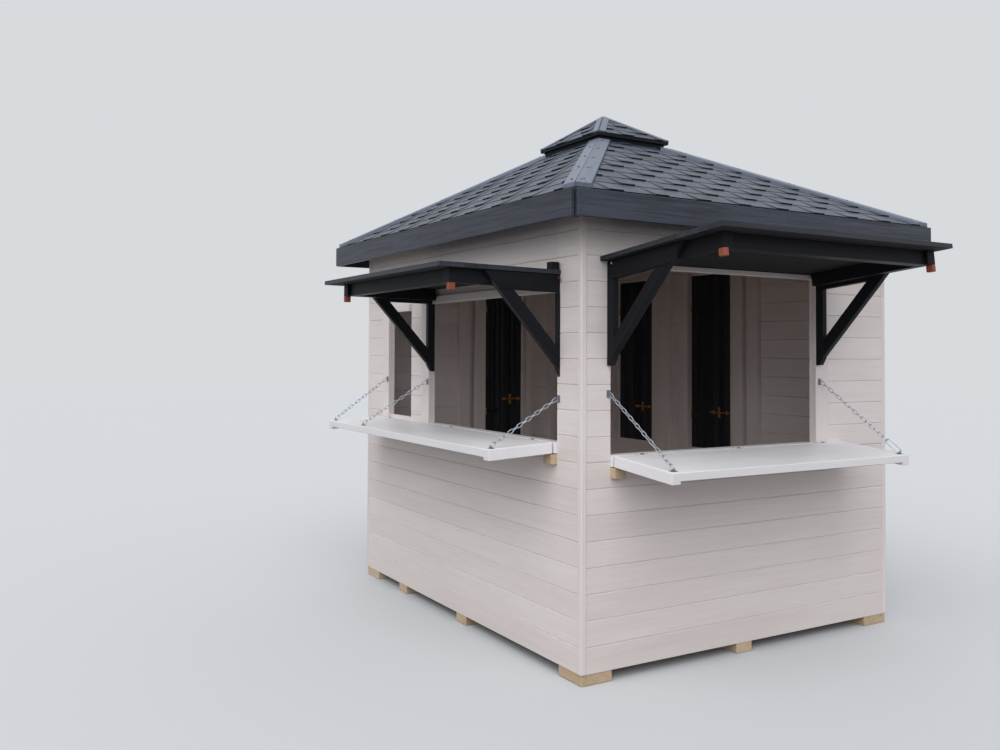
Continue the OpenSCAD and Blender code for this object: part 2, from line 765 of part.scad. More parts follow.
// A bolt and a pair of straps on each leaf, on its inner face.
module hatch_fittings() color(brass) placed() {
    straps = [hatch_sill_z + strap_in, hatch_head_z - strap_in - strap_w];
    end_x = back_hatch_x + back_hatch_w - leaf_gap - bolt_l;
    slab([end_x, side_end - bolt_d, back_bolt_z], [bolt_l, bolt_d, bolt_w]);
    for (z = straps)
        slab([back_hatch_x + leaf_gap, side_end - strap_t, z], [strap_l, strap_t, strap_w]);
    face_x = hut_w - board_t;
    for (y = right_hatches) {
        slab([face_x - bolt_d, y + leaf_gap, bolt_z], [bolt_d, bolt_l, bolt_w]);
        for (z = straps)
            slab([face_x - strap_t, y + hatch_w - leaf_gap - strap_l, z],
                [strap_t, strap_l, strap_w]);
    }
}

module entrance_door() color(paint_white) placed()
    slab([door_x + leaf_gap, side_end, floor_z + leaf_gap],
        [door_w - 2 * leaf_gap, leaf_t, door_h - 2 * leaf_gap]);

// Roof

// One face of a pyramid: a triangle with upright thickness, from corner a over corner b to the point.
module slope(a, b, edge_z, peak_z, thick) {
    polyhedron(
        points = [[a[0], a[1], edge_z - thick], [b[0], b[1], edge_z - thick], [0, 0, peak_z - thick],
            [a[0], a[1], edge_z], [b[0], b[1], edge_z], [0, 0, peak_z]],
        faces = [[0, 1, 2], [5, 4, 3], [0, 3, 4, 1], [1, 4, 5, 2], [2, 5, 3, 0]]);
}

module roof_face(a, b) {
    color(roof_grey) centred() slope([a[0] * half_x, a[1] * half_y], [b[0] * half_x, b[1] * half_y],
        eave_z, apex_z, roof_t);
}

module roof_front() roof_face([-1, -1], [1, -1]);
module roof_right() roof_face([1, -1], [1, 1]);
module roof_back() roof_face([1, 1], [-1, 1]);
module roof_left() roof_face([-1, 1], [-1, -1]);

// Every fascia board ends short of the corner, which stays open.
module fascia_boards() color(paint_black) centred() {
    out_x = mid_x + eave_over;
    out_y = mid_y + eave_over;
    short = fascia_t + join_gap;
    z = eave_z - fascia_drop - fascia_h;
    for (y = [-out_y, out_y - fascia_t])
        slab([short - out_x, y, z], [2 * (out_x - short), fascia_t, fascia_h]);
    for (x = [-out_x, out_x - fascia_t])
        slab([x, short - out_y, z], [fascia_t, 2 * (out_y - short), fascia_h]);
}

// Height of the roof surface over a point measured from the hut's centre.
function roof_z(x, y) = apex_z - roof_rise * max(abs(x) / half_x, abs(y) / half_y);

// A strip of a slope beside the hip that runs to corner c, between two shares of the way down.
module hip_strip(c, along_x, from_s, to_s, wide, thick) {
    out = along_x ? [-c[0], 0] : [0, -c[1]];
    tip = [c[0] * half_x, c[1] * half_y];
    p = [tip * from_s + out * join_gap, tip * to_s + out * join_gap,
        tip * to_s + out * wide, tip * from_s + out * wide];
    z = [for (q = p) roof_z(q[0], q[1])];
    flip = (c[0] * c[1] > 0) == along_x;
    polyhedron(
        points = concat([for (i = [0 : 3]) [p[i][0], p[i][1], z[i]]],
            [for (i = [0 : 3]) [p[i][0], p[i][1], z[i] + thick]]),
        faces = flip
            ? [[0, 1, 2, 3], [7, 6, 5, 4], [0, 4, 5, 1], [1, 5, 6, 2], [2, 6, 7, 3], [3, 7, 4, 0]]
            : [[3, 2, 1, 0], [4, 5, 6, 7], [1, 5, 4, 0], [2, 6, 5, 1], [3, 7, 6, 2], [0, 4, 7, 3]]);
}

module hip_boards() color(paint_black) centred()
    for (sx = [-1, 1], sy = [-1, 1], along_x = [true, false])
        hip_strip([sx, sy], along_x, cap_share + hip_start, 1, hip_board_w, hip_board_t);

module pyramid(hx, hy, z_low, z_top) {
    polyhedron(
        points = [[-hx, -hy, z_low], [hx, -hy, z_low], [hx, hy, z_low], [-hx, hy, z_low], [0, 0, z_top]],
        faces = [[0, 1, 2, 3], [1, 0, 4], [2, 1, 4], [3, 2, 4], [0, 3, 4]]);
}

// The hip rafters lie just under the roof boards and end short of the fascia and of each other.
module rafters() color(raw_pine) centred() {
    reach = norm([half_x, half_y]) - rafter_tail;
    low_z = eave_z - roof_t;
    intersection() {
        difference() {
            pyramid(half_x, half_y, low_z, apex_z - roof_t);
            translate([0, 0, -rafter_h]) pyramid(half_x + cut, half_y + cut, low_z, apex_z - roof_t);
        }
        for (sx = [-1, 1], sy = [-1, 1]) rotate([0, 0, atan2(sy * half_y, sx * half_x)])
            slab([rafter_head, -rafter_w / 2, 0], [reach - rafter_head, rafter_w, apex_z]);
    }
}

// The cap's boards stand on a low neck over the point of the roof.
module cap_roof() color(paint_black) centred() {
    cx = half_x * cap_share;
    cy = half_y * cap_share;
    edge_z = roof_z(cx, cy) + cap_gap;
    neck_x = cx - cap_over;
    neck_y = cy - cap_over;
    neck_z = roof_z(neck_x, neck_y);
    difference() {
        union() {
            pyramid(cx, cy, edge_z + cap_t, edge_z + cap_t + cap_rise);
            translate([0, 0, edge_z]) slab([-cx, -cy, 0], [2 * cx, 2 * cy, cap_t + cut / 10]);
            translate([0, 0, neck_z - cut]) slab([-neck_x, -neck_y, 0],
                [2 * neck_x, 2 * neck_y, edge_z - neck_z + 2 * cut]);
        }
        pyramid(half_x, half_y, eave_z, apex_z);
    }
}

foot_blocks();
floor_bearers();
floor_boards();
front_wall_lower();
front_wall_left();
front_wall_right();
front_wall_top();
left_wall_lower();
left_wall_near();
left_wall_pier();
left_wall_far();
left_wall_top();
narrow_fillers();
back_wall();
right_wall();
corner_strips();
wall_posts();
top_plates();
opening_casings();
sill_boards();
hinge_rails();
canopy_boards();
canopy_frames();
canopy_pegs();
canopy_brackets();
front_counter();
left_counter();
counter_cleats();
counter_hinges();
front_counter_fittings();
left_counter_fittings();
front_chains();
left_chains();
chain_hooks();
hatch_leaves();
hatch_fittings();
entrance_door();
roof_front();
roof_back();
roof_left();
roof_right();
hip_boards();
fascia_boards();
rafters();
cap_roof();
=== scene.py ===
# %% [markdown]
# # A wooden market hut
# The hut's walls, roof, counters and brackets are drawn in CAD and arrive here at their real
# size, in metres. This script dresses them. It lays boards and shingles over the plain solids,
# drives in nails, hangs the chains, and gives every surface a finish made of shader nodes. The
# solids could simply be coloured, but a hut is read by its joints and its grain, so those are
# made as well.

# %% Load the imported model
import json
import math
import random
import bmesh
import bpy
from mathutils import Matrix, Vector


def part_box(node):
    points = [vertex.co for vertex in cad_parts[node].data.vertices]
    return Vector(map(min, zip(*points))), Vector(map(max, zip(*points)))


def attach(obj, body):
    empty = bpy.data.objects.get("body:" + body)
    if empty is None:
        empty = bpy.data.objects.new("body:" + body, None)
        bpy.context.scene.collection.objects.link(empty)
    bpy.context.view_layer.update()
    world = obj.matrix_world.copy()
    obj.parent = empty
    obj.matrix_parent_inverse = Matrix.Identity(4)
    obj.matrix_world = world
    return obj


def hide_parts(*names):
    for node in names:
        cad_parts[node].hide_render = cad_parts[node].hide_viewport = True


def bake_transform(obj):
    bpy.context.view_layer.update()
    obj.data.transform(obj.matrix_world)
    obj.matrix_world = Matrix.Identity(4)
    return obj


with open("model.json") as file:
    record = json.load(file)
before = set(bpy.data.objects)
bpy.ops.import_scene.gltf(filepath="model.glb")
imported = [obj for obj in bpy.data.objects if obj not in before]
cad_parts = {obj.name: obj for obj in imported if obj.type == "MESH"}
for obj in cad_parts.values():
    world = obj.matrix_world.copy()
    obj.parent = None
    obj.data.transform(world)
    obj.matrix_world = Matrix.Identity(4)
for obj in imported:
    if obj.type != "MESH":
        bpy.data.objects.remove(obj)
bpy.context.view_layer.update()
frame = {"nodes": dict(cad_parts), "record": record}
NODES = frame["nodes"]
print("CAD nodes:", len(NODES))

# %% [markdown]
# Every piece below is placed from the hut itself. Places could be typed in from the middle of the
# scene, but a carpenter measures from a corner, and so does this script: from the point where the
# front wall and the left wall meet, at the bottom of the boards.

# %% The near corner of the walls
front_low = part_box("front_wall_lower")[0]
left_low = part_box("left_wall_lower")[0]
CORNER = Vector((left_low[0], front_low[1], front_low[2]))


def at(x, y, z):
    """A place measured from the near corner: x along the front wall, y along the left wall."""
    return CORNER + Vector((x, y, z))


print("near corner", tuple(round(v, 3) for v in CORNER))

# %% [markdown]
# ## The camera
# The picture was taken from standing height, a little to the left of the near corner. A camera
# can be set by eye, but this one was worked out from the joints between the wall boards, which
# are level on the real hut. YAW turns it right of straight ahead, PITCH tilts it up, and ROLL is
# a small lean.

# %% Camera
YAW, PITCH, ROLL = 0.5058, 0.0232, 0.0056
EYE = at(-2.8525, -3.7529, 1.6498)
SENSOR, LENS = 36.0, 32.59
SHIFT_X, SHIFT_Y = 0.0494, -0.0436

camera_data = bpy.data.cameras.new("camera")
camera_data.sensor_width, camera_data.lens = SENSOR, LENS
camera_data.shift_x, camera_data.shift_y = SHIFT_X, SHIFT_Y
camera = bpy.data.objects.new("camera", camera_data)
bpy.context.scene.collection.objects.link(camera)
turn = (Matrix.Rotation(-YAW, 4, "Z") @ Matrix.Rotation(math.pi / 2 + PITCH, 4, "X")
        @ Matrix.Rotation(ROLL, 4, "Z"))
camera.matrix_world = Matrix.Translation(EYE) @ turn
bpy.context.scene.camera = camera
print("camera at", tuple(round(v, 3) for v in EYE))

# %% [markdown]
# ## Shader sums
# A procedural finish is mostly arithmetic on sockets. Each sum could be wired by hand as a Math
# node. Here a small class lets a socket stand in a Python expression instead, so `1 - mask * 0.3`
# adds its own Math nodes and reads as what it means.

# %% A socket that takes part in sums
class Wire:
    """A shader socket that adds, multiplies and compares as a number does."""

    def __init__(self, finish, socket):
        self.finish, self.socket = finish, socket

    def maths(self, operation, first, second):
        return self.finish.node("ShaderNodeMath", {"operation": operation}, {0: first, 1: second})

    def __add__(self, other): return self.maths("ADD", self, other)
    def __radd__(self, other): return self.maths("ADD", other, self)
    def __sub__(self, other): return self.maths("SUBTRACT", self, other)
    def __rsub__(self, other): return self.maths("SUBTRACT", other, self)
    def __mul__(self, other): return self.maths("MULTIPLY", self, other)
    def __rmul__(self, other): return self.maths("MULTIPLY", other, self)
    def __gt__(self, other): return self.maths("GREATER_THAN", self, other)
    def __lt__(self, other): return self.maths("LESS_THAN", self, other)
    def clamp(self): return self.finish.node("ShaderNodeClamp", {}, {0: self})


# %% A material under construction
MIX_FACTOR, MIX_FIRST, MIX_SECOND, MIX_COLOUR = 0, 6, 7, 2


class Finish:
    """A material, with its shader and one method that adds nodes to it."""

    def __init__(self, name, colour, roughness, **constants):
        self.material = bpy.data.materials.new(name)
        self.material.use_nodes = True
        self.tree = self.material.node_tree
        self.shader = self.tree.nodes["Principled BSDF"]
        self.shader.inputs["Base Color"].default_value = (*colour[:3], 1.0)
        self.shader.inputs["Roughness"].default_value = roughness
        for socket, value in constants.items():
            self.shader.inputs[socket.replace("_", " ")].default_value = value

    def node(self, kind, settings, sockets, output=0):
        """Adds a node: its settings first, then a value or a link for each of its sockets."""
        made = self.tree.nodes.new(kind)
        for name, value in settings.items():
            setattr(made, name, value)
        for key, value in sockets.items():
            if isinstance(value, Wire):
                self.tree.links.new(value.socket, made.inputs[key])
            else:
                made.inputs[key].default_value = value
        return Wire(self, made.outputs[output])

    def attribute(self, name, output):
        """What a piece's own mesh carries, as a Vector or as a number, which is called Fac."""
        return self.node("ShaderNodeAttribute", {"attribute_name": name}, {}, output)

    def coordinate(self, output):
        return self.node("ShaderNodeTexCoord", {}, {}, output)

    def axis(self, vector, letter):
        return self.node("ShaderNodeSeparateXYZ", {}, {0: vector}, letter)

    def scaled(self, place, scale):
        """A place with each axis scaled, so that a pattern drawn on it is stretched or packed."""
        return self.node("ShaderNodeMapping", {}, {"Vector": place, "Scale": scale})

    def noise(self, place, scale, detail, **sockets):
        return self.node("ShaderNodeTexNoise", {},
                         {"Vector": place, "Scale": scale, "Detail": detail, **sockets})

    def mix(self, factor, first, second):
        return self.node("ShaderNodeMix", {"data_type": "RGBA"},
                         {MIX_FACTOR: factor, MIX_FIRST: first, MIX_SECOND: second}, MIX_COLOUR)

    def feed(self, socket, wire):
        self.tree.links.new(wire.socket, self.shader.inputs[socket])

    def bump(self, height, strength, distance):
        self.feed("Normal", self.node("ShaderNodeBump", {}, {
            "Strength": strength, "Distance": distance, "Height": height}))


# %% Colours
def rgba(red, green, blue):
    """A screen colour, 0 to 255, as the linear colour that a shader takes."""
    def linear(c):
        c = c / 255
        return c / 12.92 if c <= 0.04045 else ((c + 0.055) / 1.055) ** 2.4
    return (linear(red), linear(green), linear(blue), 1.0)


def dimmed(colour, share):
    """A colour with its light cut down to a share."""
    return (*(part * share for part in colour[:3]), 1.0)


# %% [markdown]
# ## Boards that know their grain
# On the real hut every timber is a separate board with its own grain. One pattern in object space
# would run straight through all of them. So each board's mesh carries two things for the shaders:
# `wood`, a place measured along and across that board, and `tone`, one number for the whole
# board, so that no two neighbours have quite the same shade. Lists and not sets hold the faces
# and edges here, because a set has another order in each run, and the boards would change their
# shades with it.

# %% Islands of a mesh
def once(parts):
    """The parts without repeats, in the order in which they came."""
    return list(dict.fromkeys(parts))


def only(kind, parts):
    return [part for part in parts if isinstance(part, kind)]


def extent(faces):
    """The low and the high corner of some faces."""
    places = [vert.co for face in faces for vert in face.verts]
    return (Vector([min(p[i] for p in places) for i in range(3)]),
            Vector([max(p[i] for p in places) for i in range(3)]))


def islands(made):
    """The separate solids of a bmesh, each as a list of its faces, sorted by where they are."""
    seen, found = set(), []
    for first in made.faces:
        if first in seen:
            continue
        seen.add(first)
        queue, group = [first], []
        while queue:
            face = queue.pop()
            group.append(face)
            for edge in face.edges:
                for other in edge.link_faces:
                    if other not in seen:
                        seen.add(other)
                        queue.append(other)
        found.append(group)
    return sorted(found, key=lambda group: [round(c, 4) for end in extent(group) for c in end])


# %% Store the grain of each board
SEED = 7
PATTERN_SPREAD = 9      # metres of pattern over which the boards are scattered
LEVEL = 0.001           # an edge is level where its ends differ by less than this in height
ACROSS = Vector((0.31, 0.2, 0.93))      # along no board, so it gives each board a side
dice = random.Random(SEED)


def length_and_place(edge):
    """An edge's length, then its middle, which settles it between edges of one length."""
    middle = (edge.verts[0].co + edge.verts[1].co) / 2
    return [round(value, 4) for value in (edge.calc_length(), *middle)]


def store_grain(made, level=False):
    """Writes wood and tone on the vertices. The grain runs along a board's longest edge, or along
    its longest level edge where level is true."""
    wood = made.verts.layers.float_vector.new("wood")
    tone = made.verts.layers.float.new("tone")
    for group in islands(made):
        edges = once(edge for face in group for edge in face.edges)
        if level:
            edges = [e for e in edges
                     if abs(e.verts[0].co.z - e.verts[1].co.z) < LEVEL] or edges
        longest = max(edges, key=length_and_place)
        along = (longest.verts[1].co - longest.verts[0].co).normalized()
        if along.dot(ACROSS) < 0:
            along.negate()
        side = along.cross(ACROSS).normalized()
        up = along.cross(side)
        shift = Vector([dice.uniform(0, PATTERN_SPREAD) for axis in range(3)])
        shade = dice.random()
        for vert in once(v for face in group for v in face.verts):
            place = Vector((vert.co.dot(along), vert.co.dot(side), vert.co.dot(up)))
            vert[wood] = place + shift
            vert[tone] = shade


# %% Turn a bmesh into a piece of the hut
STRIP = 6       # a face this many times larger than its neighbour meets it in a crisp edge


def piece(name, made, material, body, hides=(), grain=True, smooth=0.9):
    """A finished piece: faces outwards, riding its body if it has one. An edge stays crisp where it
    turns more than smooth, or where a wide flat face meets the narrow strip of a bevel."""
    bmesh.ops.recalc_face_normals(made, faces=made.faces)
    area = {face: face.calc_area() for face in made.faces}
    for face in made.faces:
        face.smooth = True
    for edge in made.edges:
        sizes = sorted(area[face] for face in edge.link_faces)
        edge.smooth = (len(sizes) == 2 and edge.calc_face_angle() < smooth
                       and sizes[1] < sizes[0] * STRIP)
    if grain:
        store_grain(made, grain == "level")
    mesh = bpy.data.meshes.new(name)
    made.to_mesh(mesh)
    made.free()
    mesh.materials.append(material)
    thing = bpy.data.objects.new(name, mesh)
    bpy.context.scene.collection.objects.link(thing)
    if body:
        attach(thing, body)
    if hides:
        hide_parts(*hides)
    return thing


def body_of(node):
    """The body that carries a CAD node."""
    for name, nodes in frame["record"]["behaviour"]["bodies"].items():
        if node in nodes:
            return name


def slot_of(node):
    """The material slot of a CAD node."""
    for part in frame["record"]["subparts"]:
        if part["node"] == node:
            return part["material_slot"]


# %% [markdown]
# ## Wood
# The walls are painted, the roof and the shutters are stained, and the feet are raw pine. A
# picture of wood could be wrapped round each board, but it would repeat. Here paint and stain are
# one recipe with different numbers: a fine grain stretched along the board, broad worn patches, a
# shade for each board, and knots here and there.

# %% Wood under paint, stain or nothing
FIBRES, PATCHES, KNOTS = (2.2, 55.0, 55.0), (1.2, 6.0, 6.0), (2.6, 9.0, 9.0)
KNOT_EDGE, KNOT_DARK = 9.0, 0.45
LOOKS_DOWN = -0.5       # how far down a face has to look to take the darker underside colour, partly painted shade


def wood_finish(name, light, dark, roughness, grain=0.5, knots=0.0, board=0.25, relief=0.25,
                gloss=0.5, underside_stain_and_shade=None):
    """Colour from grain, patches, knots and the board's own tone; bump from the grain. Faces that
    look down take the underside colour, if there is one: unweathered stain and painted shade."""
    wood = Finish(name, light, roughness, Specular_IOR_Level=gloss)
    place = wood.attribute("wood", "Vector")
    tone = wood.attribute("tone", "Fac")
    fibres = wood.noise(wood.scaled(place, FIBRES), 1.0, 5.0, Roughness=0.65, Distortion=0.4)
    patches = wood.noise(wood.scaled(place, PATCHES), 1.0, 3.0)
    knot = wood.node("ShaderNodeTexVoronoi", {},
                     {"Vector": wood.scaled(place, KNOTS), "Scale": 1.0})
    knot_mask = (1.0 - knot * KNOT_EDGE).clamp()
    dirt = (fibres - 0.5) * grain * 2.4 + (patches - 0.5) * 0.8 + (tone - 0.5) * board + 0.5
    colour = wood.mix(dirt.clamp(), dark, light)
    if knots:
        colour = wood.mix(knot_mask * knots, colour, dimmed(dark, KNOT_DARK))
    dullness = (patches - 0.5) * 0.25 + roughness
    # Faces that look down turn darker: the unweathered stain under the shutters, deepened as
    # painted shade.
    if underside_stain_and_shade:
        under = wood.axis(wood.coordinate("Normal"), "Z") < LOOKS_DOWN
        colour = wood.mix(under, colour, underside_stain_and_shade)
        dullness = dullness + under * 0.4
    wood.feed("Base Color", colour)
    wood.feed("Roughness", dullness)
    wood.bump(fibres + knot_mask * 0.3, relief, 0.0012)
    return wood.material


# %% The woods of the hut
WALL = wood_finish("wall_paint", rgba(236, 228, 226), rgba(215, 205, 202), roughness=0.5,
                   grain=0.35, knots=0.06)
COUNTER = wood_finish("counter_paint", rgba(243, 242, 245), rgba(228, 225, 227), roughness=0.4,
                      grain=0.3, board=0.2, relief=0.2, gloss=0.1)
BLACK = wood_finish("black_stain", rgba(31, 32, 38), rgba(11, 12, 14), roughness=0.5,
                    knots=0.5, board=0.3, relief=0.6, gloss=0.12)
# The shutters' downward faces take a near black: unweathered stain and painted shade.
SHUTTER = wood_finish("weathered_stain", rgba(58, 61, 71), rgba(22, 24, 29), roughness=0.45,
                      grain=0.6, knots=0.5, board=0.4, relief=0.8, gloss=0.3,
                      underside_stain_and_shade=rgba(17, 16, 18))
FASCIA = wood_finish("fascia_stain", rgba(70, 75, 88), rgba(26, 28, 34), roughness=0.45,
                     grain=0.8, knots=0.9, board=0.15, relief=0.9, gloss=0.3)
LEAF = wood_finish("leaf_stain", rgba(52, 52, 57), rgba(22, 22, 25), roughness=0.5,
                   knots=0.2, board=0.8, relief=0.6, gloss=0.2)
HIP = wood_finish("hip_stain", rgba(112, 122, 144), rgba(62, 68, 82), roughness=0.35,
                  knots=0.5, board=0.3, relief=0.6)
PINE = wood_finish("raw_pine", rgba(212, 192, 166), rgba(176, 149, 117), roughness=0.7,
                   grain=0.6, knots=0.8)
ORANGE = wood_finish("orange_wood", rgba(176, 92, 62), rgba(118, 54, 34), roughness=0.55,
                     grain=0.6)
print("woods:", len(bpy.data.materials))

# %% [markdown]
# ## Metal
# Chains, hooks and hinges are zinc plated, the bolts on the leaves are brass, and one iron
# knuckle has rusted. Bare metal that has hung outdoors is never even, and one flat shine would
# look like new. A soft noise stands for smears: it darkens the colour and dulls the shine in the
# same spots.

# %% Metal with a little dirt
SMEAR_SCALE, SMEAR_DARK = 60.0, 0.55


def metal(name, colour, roughness, metallic=0.9):
    shiny = Finish(name, colour, roughness, Metallic=metallic)
    smears = shiny.noise(shiny.coordinate("Object"), SMEAR_SCALE, 3.0)
    shiny.feed("Base Color", shiny.mix(smears, colour, dimmed(colour, SMEAR_DARK)))
    shiny.feed("Roughness", smears * 0.35 + (roughness - 0.15))
    shiny.bump(smears, 0.1, 0.0005)
    return shiny.material


ZINC = metal("zinc", rgba(196, 202, 212), 0.35)
GREY_ZINC = metal("weathered_zinc", rgba(146, 150, 158), 0.5)
PALE_ZINC = metal("painted_hinge", rgba(232, 230, 232), 0.5, metallic=0.0)
BRASS = metal("brass", rgba(214, 158, 84), 0.4)
DULL = metal("dull_nail", rgba(60, 62, 68), 0.5)
RUST = metal("rusty_iron", rgba(122, 66, 46), 0.6)
print("with metals:", len(bpy.data.materials))

# %% [markdown]
# ## Shingles and roof boards
# A shingle is felt with stone granules pressed into it. The granules are far too many to model,
# so a very fine noise gives their colour and a bump. The lower edge is cut felt and nearly black:
# the faces there carry the number `butt`, which picks that colour.

# %% Mineral shingles: stone granules on felt
GRANULES, SHEEN_STREAKS = 420.0, (5.0, 48.0, 48.0)
FELT = rgba(9, 9, 11)


def granules(name, light, dark):
    stone = Finish(name, light, 0.5)
    place = stone.attribute("wood", "Vector")
    tone = stone.attribute("tone", "Fac")
    butt = stone.attribute("butt", "Fac")
    grit = stone.noise(place, GRANULES, 2.0)
    # Long stretched streaks lighten the colour where the felt is also glossier; the lighter colour
    # is a painted reflection of the sky on the wet roof.
    sheen_streaks = stone.noise(stone.scaled(place, SHEEN_STREAKS), 1.0, 4.0)
    shade = grit * 0.4 + sheen_streaks * 0.9 + tone * 0.35 - 0.33
    colour = stone.mix(shade.clamp(), dark, light)
    stone.feed("Base Color", stone.mix(butt, colour, FELT))
    stone.feed("Roughness", butt * 0.4 + 0.62 - sheen_streaks * 0.35)
    stone.bump(grit, 0.5, 0.001)
    return stone.material


SHINGLE = granules("shingles", rgba(86, 95, 112), rgba(37, 41, 50))

# %% [markdown]
# The boards under the shingles are raw wood inside the hut and stained where they stick out past
# the walls. They are one CAD solid, which could be split in two, but a material can tell the
# places apart: a point is inside where it lies between the walls and its face looks down.

# %% Roof boards, raw inside the hut and dark outside
deck = Finish("roof_deck", (0.3, 0.2, 0.12), 0.75)
here = deck.coordinate("Object")
inside = deck.axis(deck.coordinate("Normal"), "Z") < -0.1
for letter, low, high in zip("XY", *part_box("top_plates")):
    spot = deck.axis(here, letter)
    inside = (spot > low) * (spot < high) * inside
deck_grain = deck.noise(deck.scaled(here, (1.0, 8.0, 1.0)), 9.0, 4.0)
raw = deck.mix(deck_grain, rgba(196, 160, 116), rgba(160, 120, 80))
deck.feed("Base Color", deck.mix(inside, rgba(34, 36, 42), raw))
deck.bump(deck_grain, 0.3, 0.001)

# %% Every CAD node gets the finish of its slot
FINISHES = {"wall_paint": WALL, "counter_paint": COUNTER, "raw_pine": PINE, "black_paint": BLACK,
            "roof_paint": HIP, "shingles": deck.material, "zinc": ZINC, "brass": BRASS,
            "copper_wood": ORANGE}
for name, node in NODES.items():
    node.data.materials.clear()
    node.data.materials.append(FINISHES[slot_of(name)])
print("finishes:", len(bpy.data.materials))

# %% [markdown]
# ## Walls of boards
# The walls are tongue-and-groove boards laid level, each with a bevel along its joints that shows
# as a fine line. Boards could be stacked one by one round every opening. It is simpler to slice
# the plain wall from the CAD at every joint: slicing keeps the openings, so a board that meets a
# hatch ends there, as the real one does.

# %% Copy of a CAD node, in plain large faces
def copy_of(node, merge=1e-5):
    made = bmesh.new()
    made.from_mesh(NODES[node].data)
    bmesh.ops.remove_doubles(made, verts=made.verts, dist=merge)
    bmesh.ops.dissolve_limit(made, angle_limit=0.01, verts=made.verts, edges=made.edges)
    return made


def join_into(result, part):
    """Adds a bmesh to another one and frees it."""
    mesh = bpy.data.meshes.new("part")
    part.to_mesh(mesh)
    part.free()
    result.from_mesh(mesh)
    bpy.data.meshes.remove(mesh)


def bevel(made, edges, radius, segments=2, clamp=False):
    bmesh.ops.bevel(made, geom=edges, offset=radius, offset_type="OFFSET", affect="EDGES",
                    segments=segments, profile=0.5, material=-1, clamp_overlap=clamp)


def cut_off(made, place, way):
    """Cuts away what lies beyond a plane, and gives the edges of the open cut."""
    cut = bmesh.ops.bisect_plane(
        made, geom=made.verts[:] + made.edges[:] + made.faces[:], dist=1e-6,
        plane_co=place, plane_no=way, clear_outer=True)["geom_cut"]
    return only(bmesh.types.BMEdge, cut)


# %% Slice a solid into boards
ON_CUT, OFF_END = 1e-5, 1e-4
THINNEST, SHORTEST = 0.004, 0.05        # a thinner slice is no board, a shorter edge isn't eased


def along_joint(edge, normal, cuts, low, high):
    """Whether an edge runs along a saw cut, and not along an end of the whole solid."""
    first, second = (vert.co.dot(normal) for vert in edge.verts)
    cut = min(cuts, key=lambda place: abs(place - first))
    return (abs(first - cut) < ON_CUT and abs(second - cut) < ON_CUT
            and edge.calc_length() > SHORTEST
            and first - low >= OFF_END and high - first >= OFF_END)


def sliced(source, normal, first, width, ease):
    """A solid cut into boards of that width, with the long edges at the joints eased."""
    normal = Vector(normal)
    reach = [v.co.dot(normal) for v in source.verts]
    low, high = min(reach), max(reach)
    start = first + math.floor((low - first) / width + OFF_END) * width
    result = bmesh.new()
    while start < high - THINNEST:
        board = source.copy()
        cuts = (start, start + width)
        for cut, way in zip(cuts, (-1, 1)):
            if low < cut < high:
                rim = cut_off(board, normal * cut, normal * way)
                if len(rim) == 4:
                    bmesh.ops.edgeloop_fill(board, edges=rim)
                else:
                    bmesh.ops.holes_fill(board, edges=rim)
        joints = [e for e in board.edges if along_joint(e, normal, cuts, low, high)]
        if joints:
            bevel(board, joints, ease, segments=1)
        join_into(result, board)
        start += width
    source.free()
    return result


# %% All the walls
COURSE, WALL_JOINT = 0.135, 0.0035
UP = (0.0, 0.0, 1.0)
WALL_NODES = ["front_wall_lower", "front_wall_left", "front_wall_right", "front_wall_top",
              "left_wall_lower", "left_wall_near", "left_wall_pier", "left_wall_far",
              "left_wall_top", "narrow_fillers", "back_wall", "right_wall"]
for name in WALL_NODES:
    boards = sliced(copy_of(name), UP, CORNER.z, COURSE, WALL_JOINT)
    piece(name + "_boards", boards, WALL, "hut", [name])
print("walls boarded:", len(WALL_NODES))

# %% [markdown]
# ## Eased timbers
# Sawn timber never has a knife edge: a plane or a sander takes it off, and paint rounds it more.
# The CAD solids are sharp. A Bevel modifier could round them, but it would also follow their
# loose triangles, so each solid is copied, its flat faces are joined up, and then its edges are
# bevelled.

# %% Bevel every sharp edge of a node
SHARP = 0.4


def eased(node, radius, material=None):
    made = copy_of(node)
    edges = [e for e in made.edges if len(e.link_faces) == 2 and e.calc_face_angle() > SHARP]
    bevel(made, edges, radius, clamp=True)
    return piece(node + "_eased", made, material or FINISHES[slot_of(node)], body_of(node),
                 [node])


EASED = {"foot_blocks": 0.004, "floor_bearers": 0.003, "corner_strips": 0.003,
         "wall_posts": 0.003, "top_plates": 0.003, "opening_casings": 0.002,
         "sill_boards": 0.002, "hinge_rails": 0.0015, "canopy_frames": 0.003,
         "canopy_pegs": 0.003, "canopy_brackets": 0.002, "front_counter": 0.0025,
         "left_counter": 0.0025, "counter_cleats": 0.002, "fascia_boards": 0.003,
         "hip_boards": 0.002, "rafters": 0.002}
OTHER_FINISH = {"fascia_boards": FASCIA, "hinge_rails": COUNTER, "sill_boards": COUNTER}
for name, radius in EASED.items():
    eased(name, radius, OTHER_FINISH.get(name))
print("eased timbers:", len(EASED))

# %% [markdown]
# ## Floor, door and shutters
# The floor, the door and the raised shutters over the openings are made of boards too, each a
# plain slab in the CAD. They are sliced as the walls are: the door in the same courses as the
# wall round it, the floor and the shutters across another axis.

# %% Floor and door
FLOOR_BOARD, TIGHT_JOINT = 0.12, 0.002
door_low, door_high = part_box("entrance_door")
planks = sliced(copy_of("floor_boards"), (0, 1, 0), CORNER.y, FLOOR_BOARD, TIGHT_JOINT)
piece("floor_planks", planks, PINE, "hut", ["floor_boards"])
door = sliced(copy_of("entrance_door"), UP, CORNER.z, COURSE, WALL_JOINT)
piece("door_boards", door, WALL, "hut", ["entrance_door"])

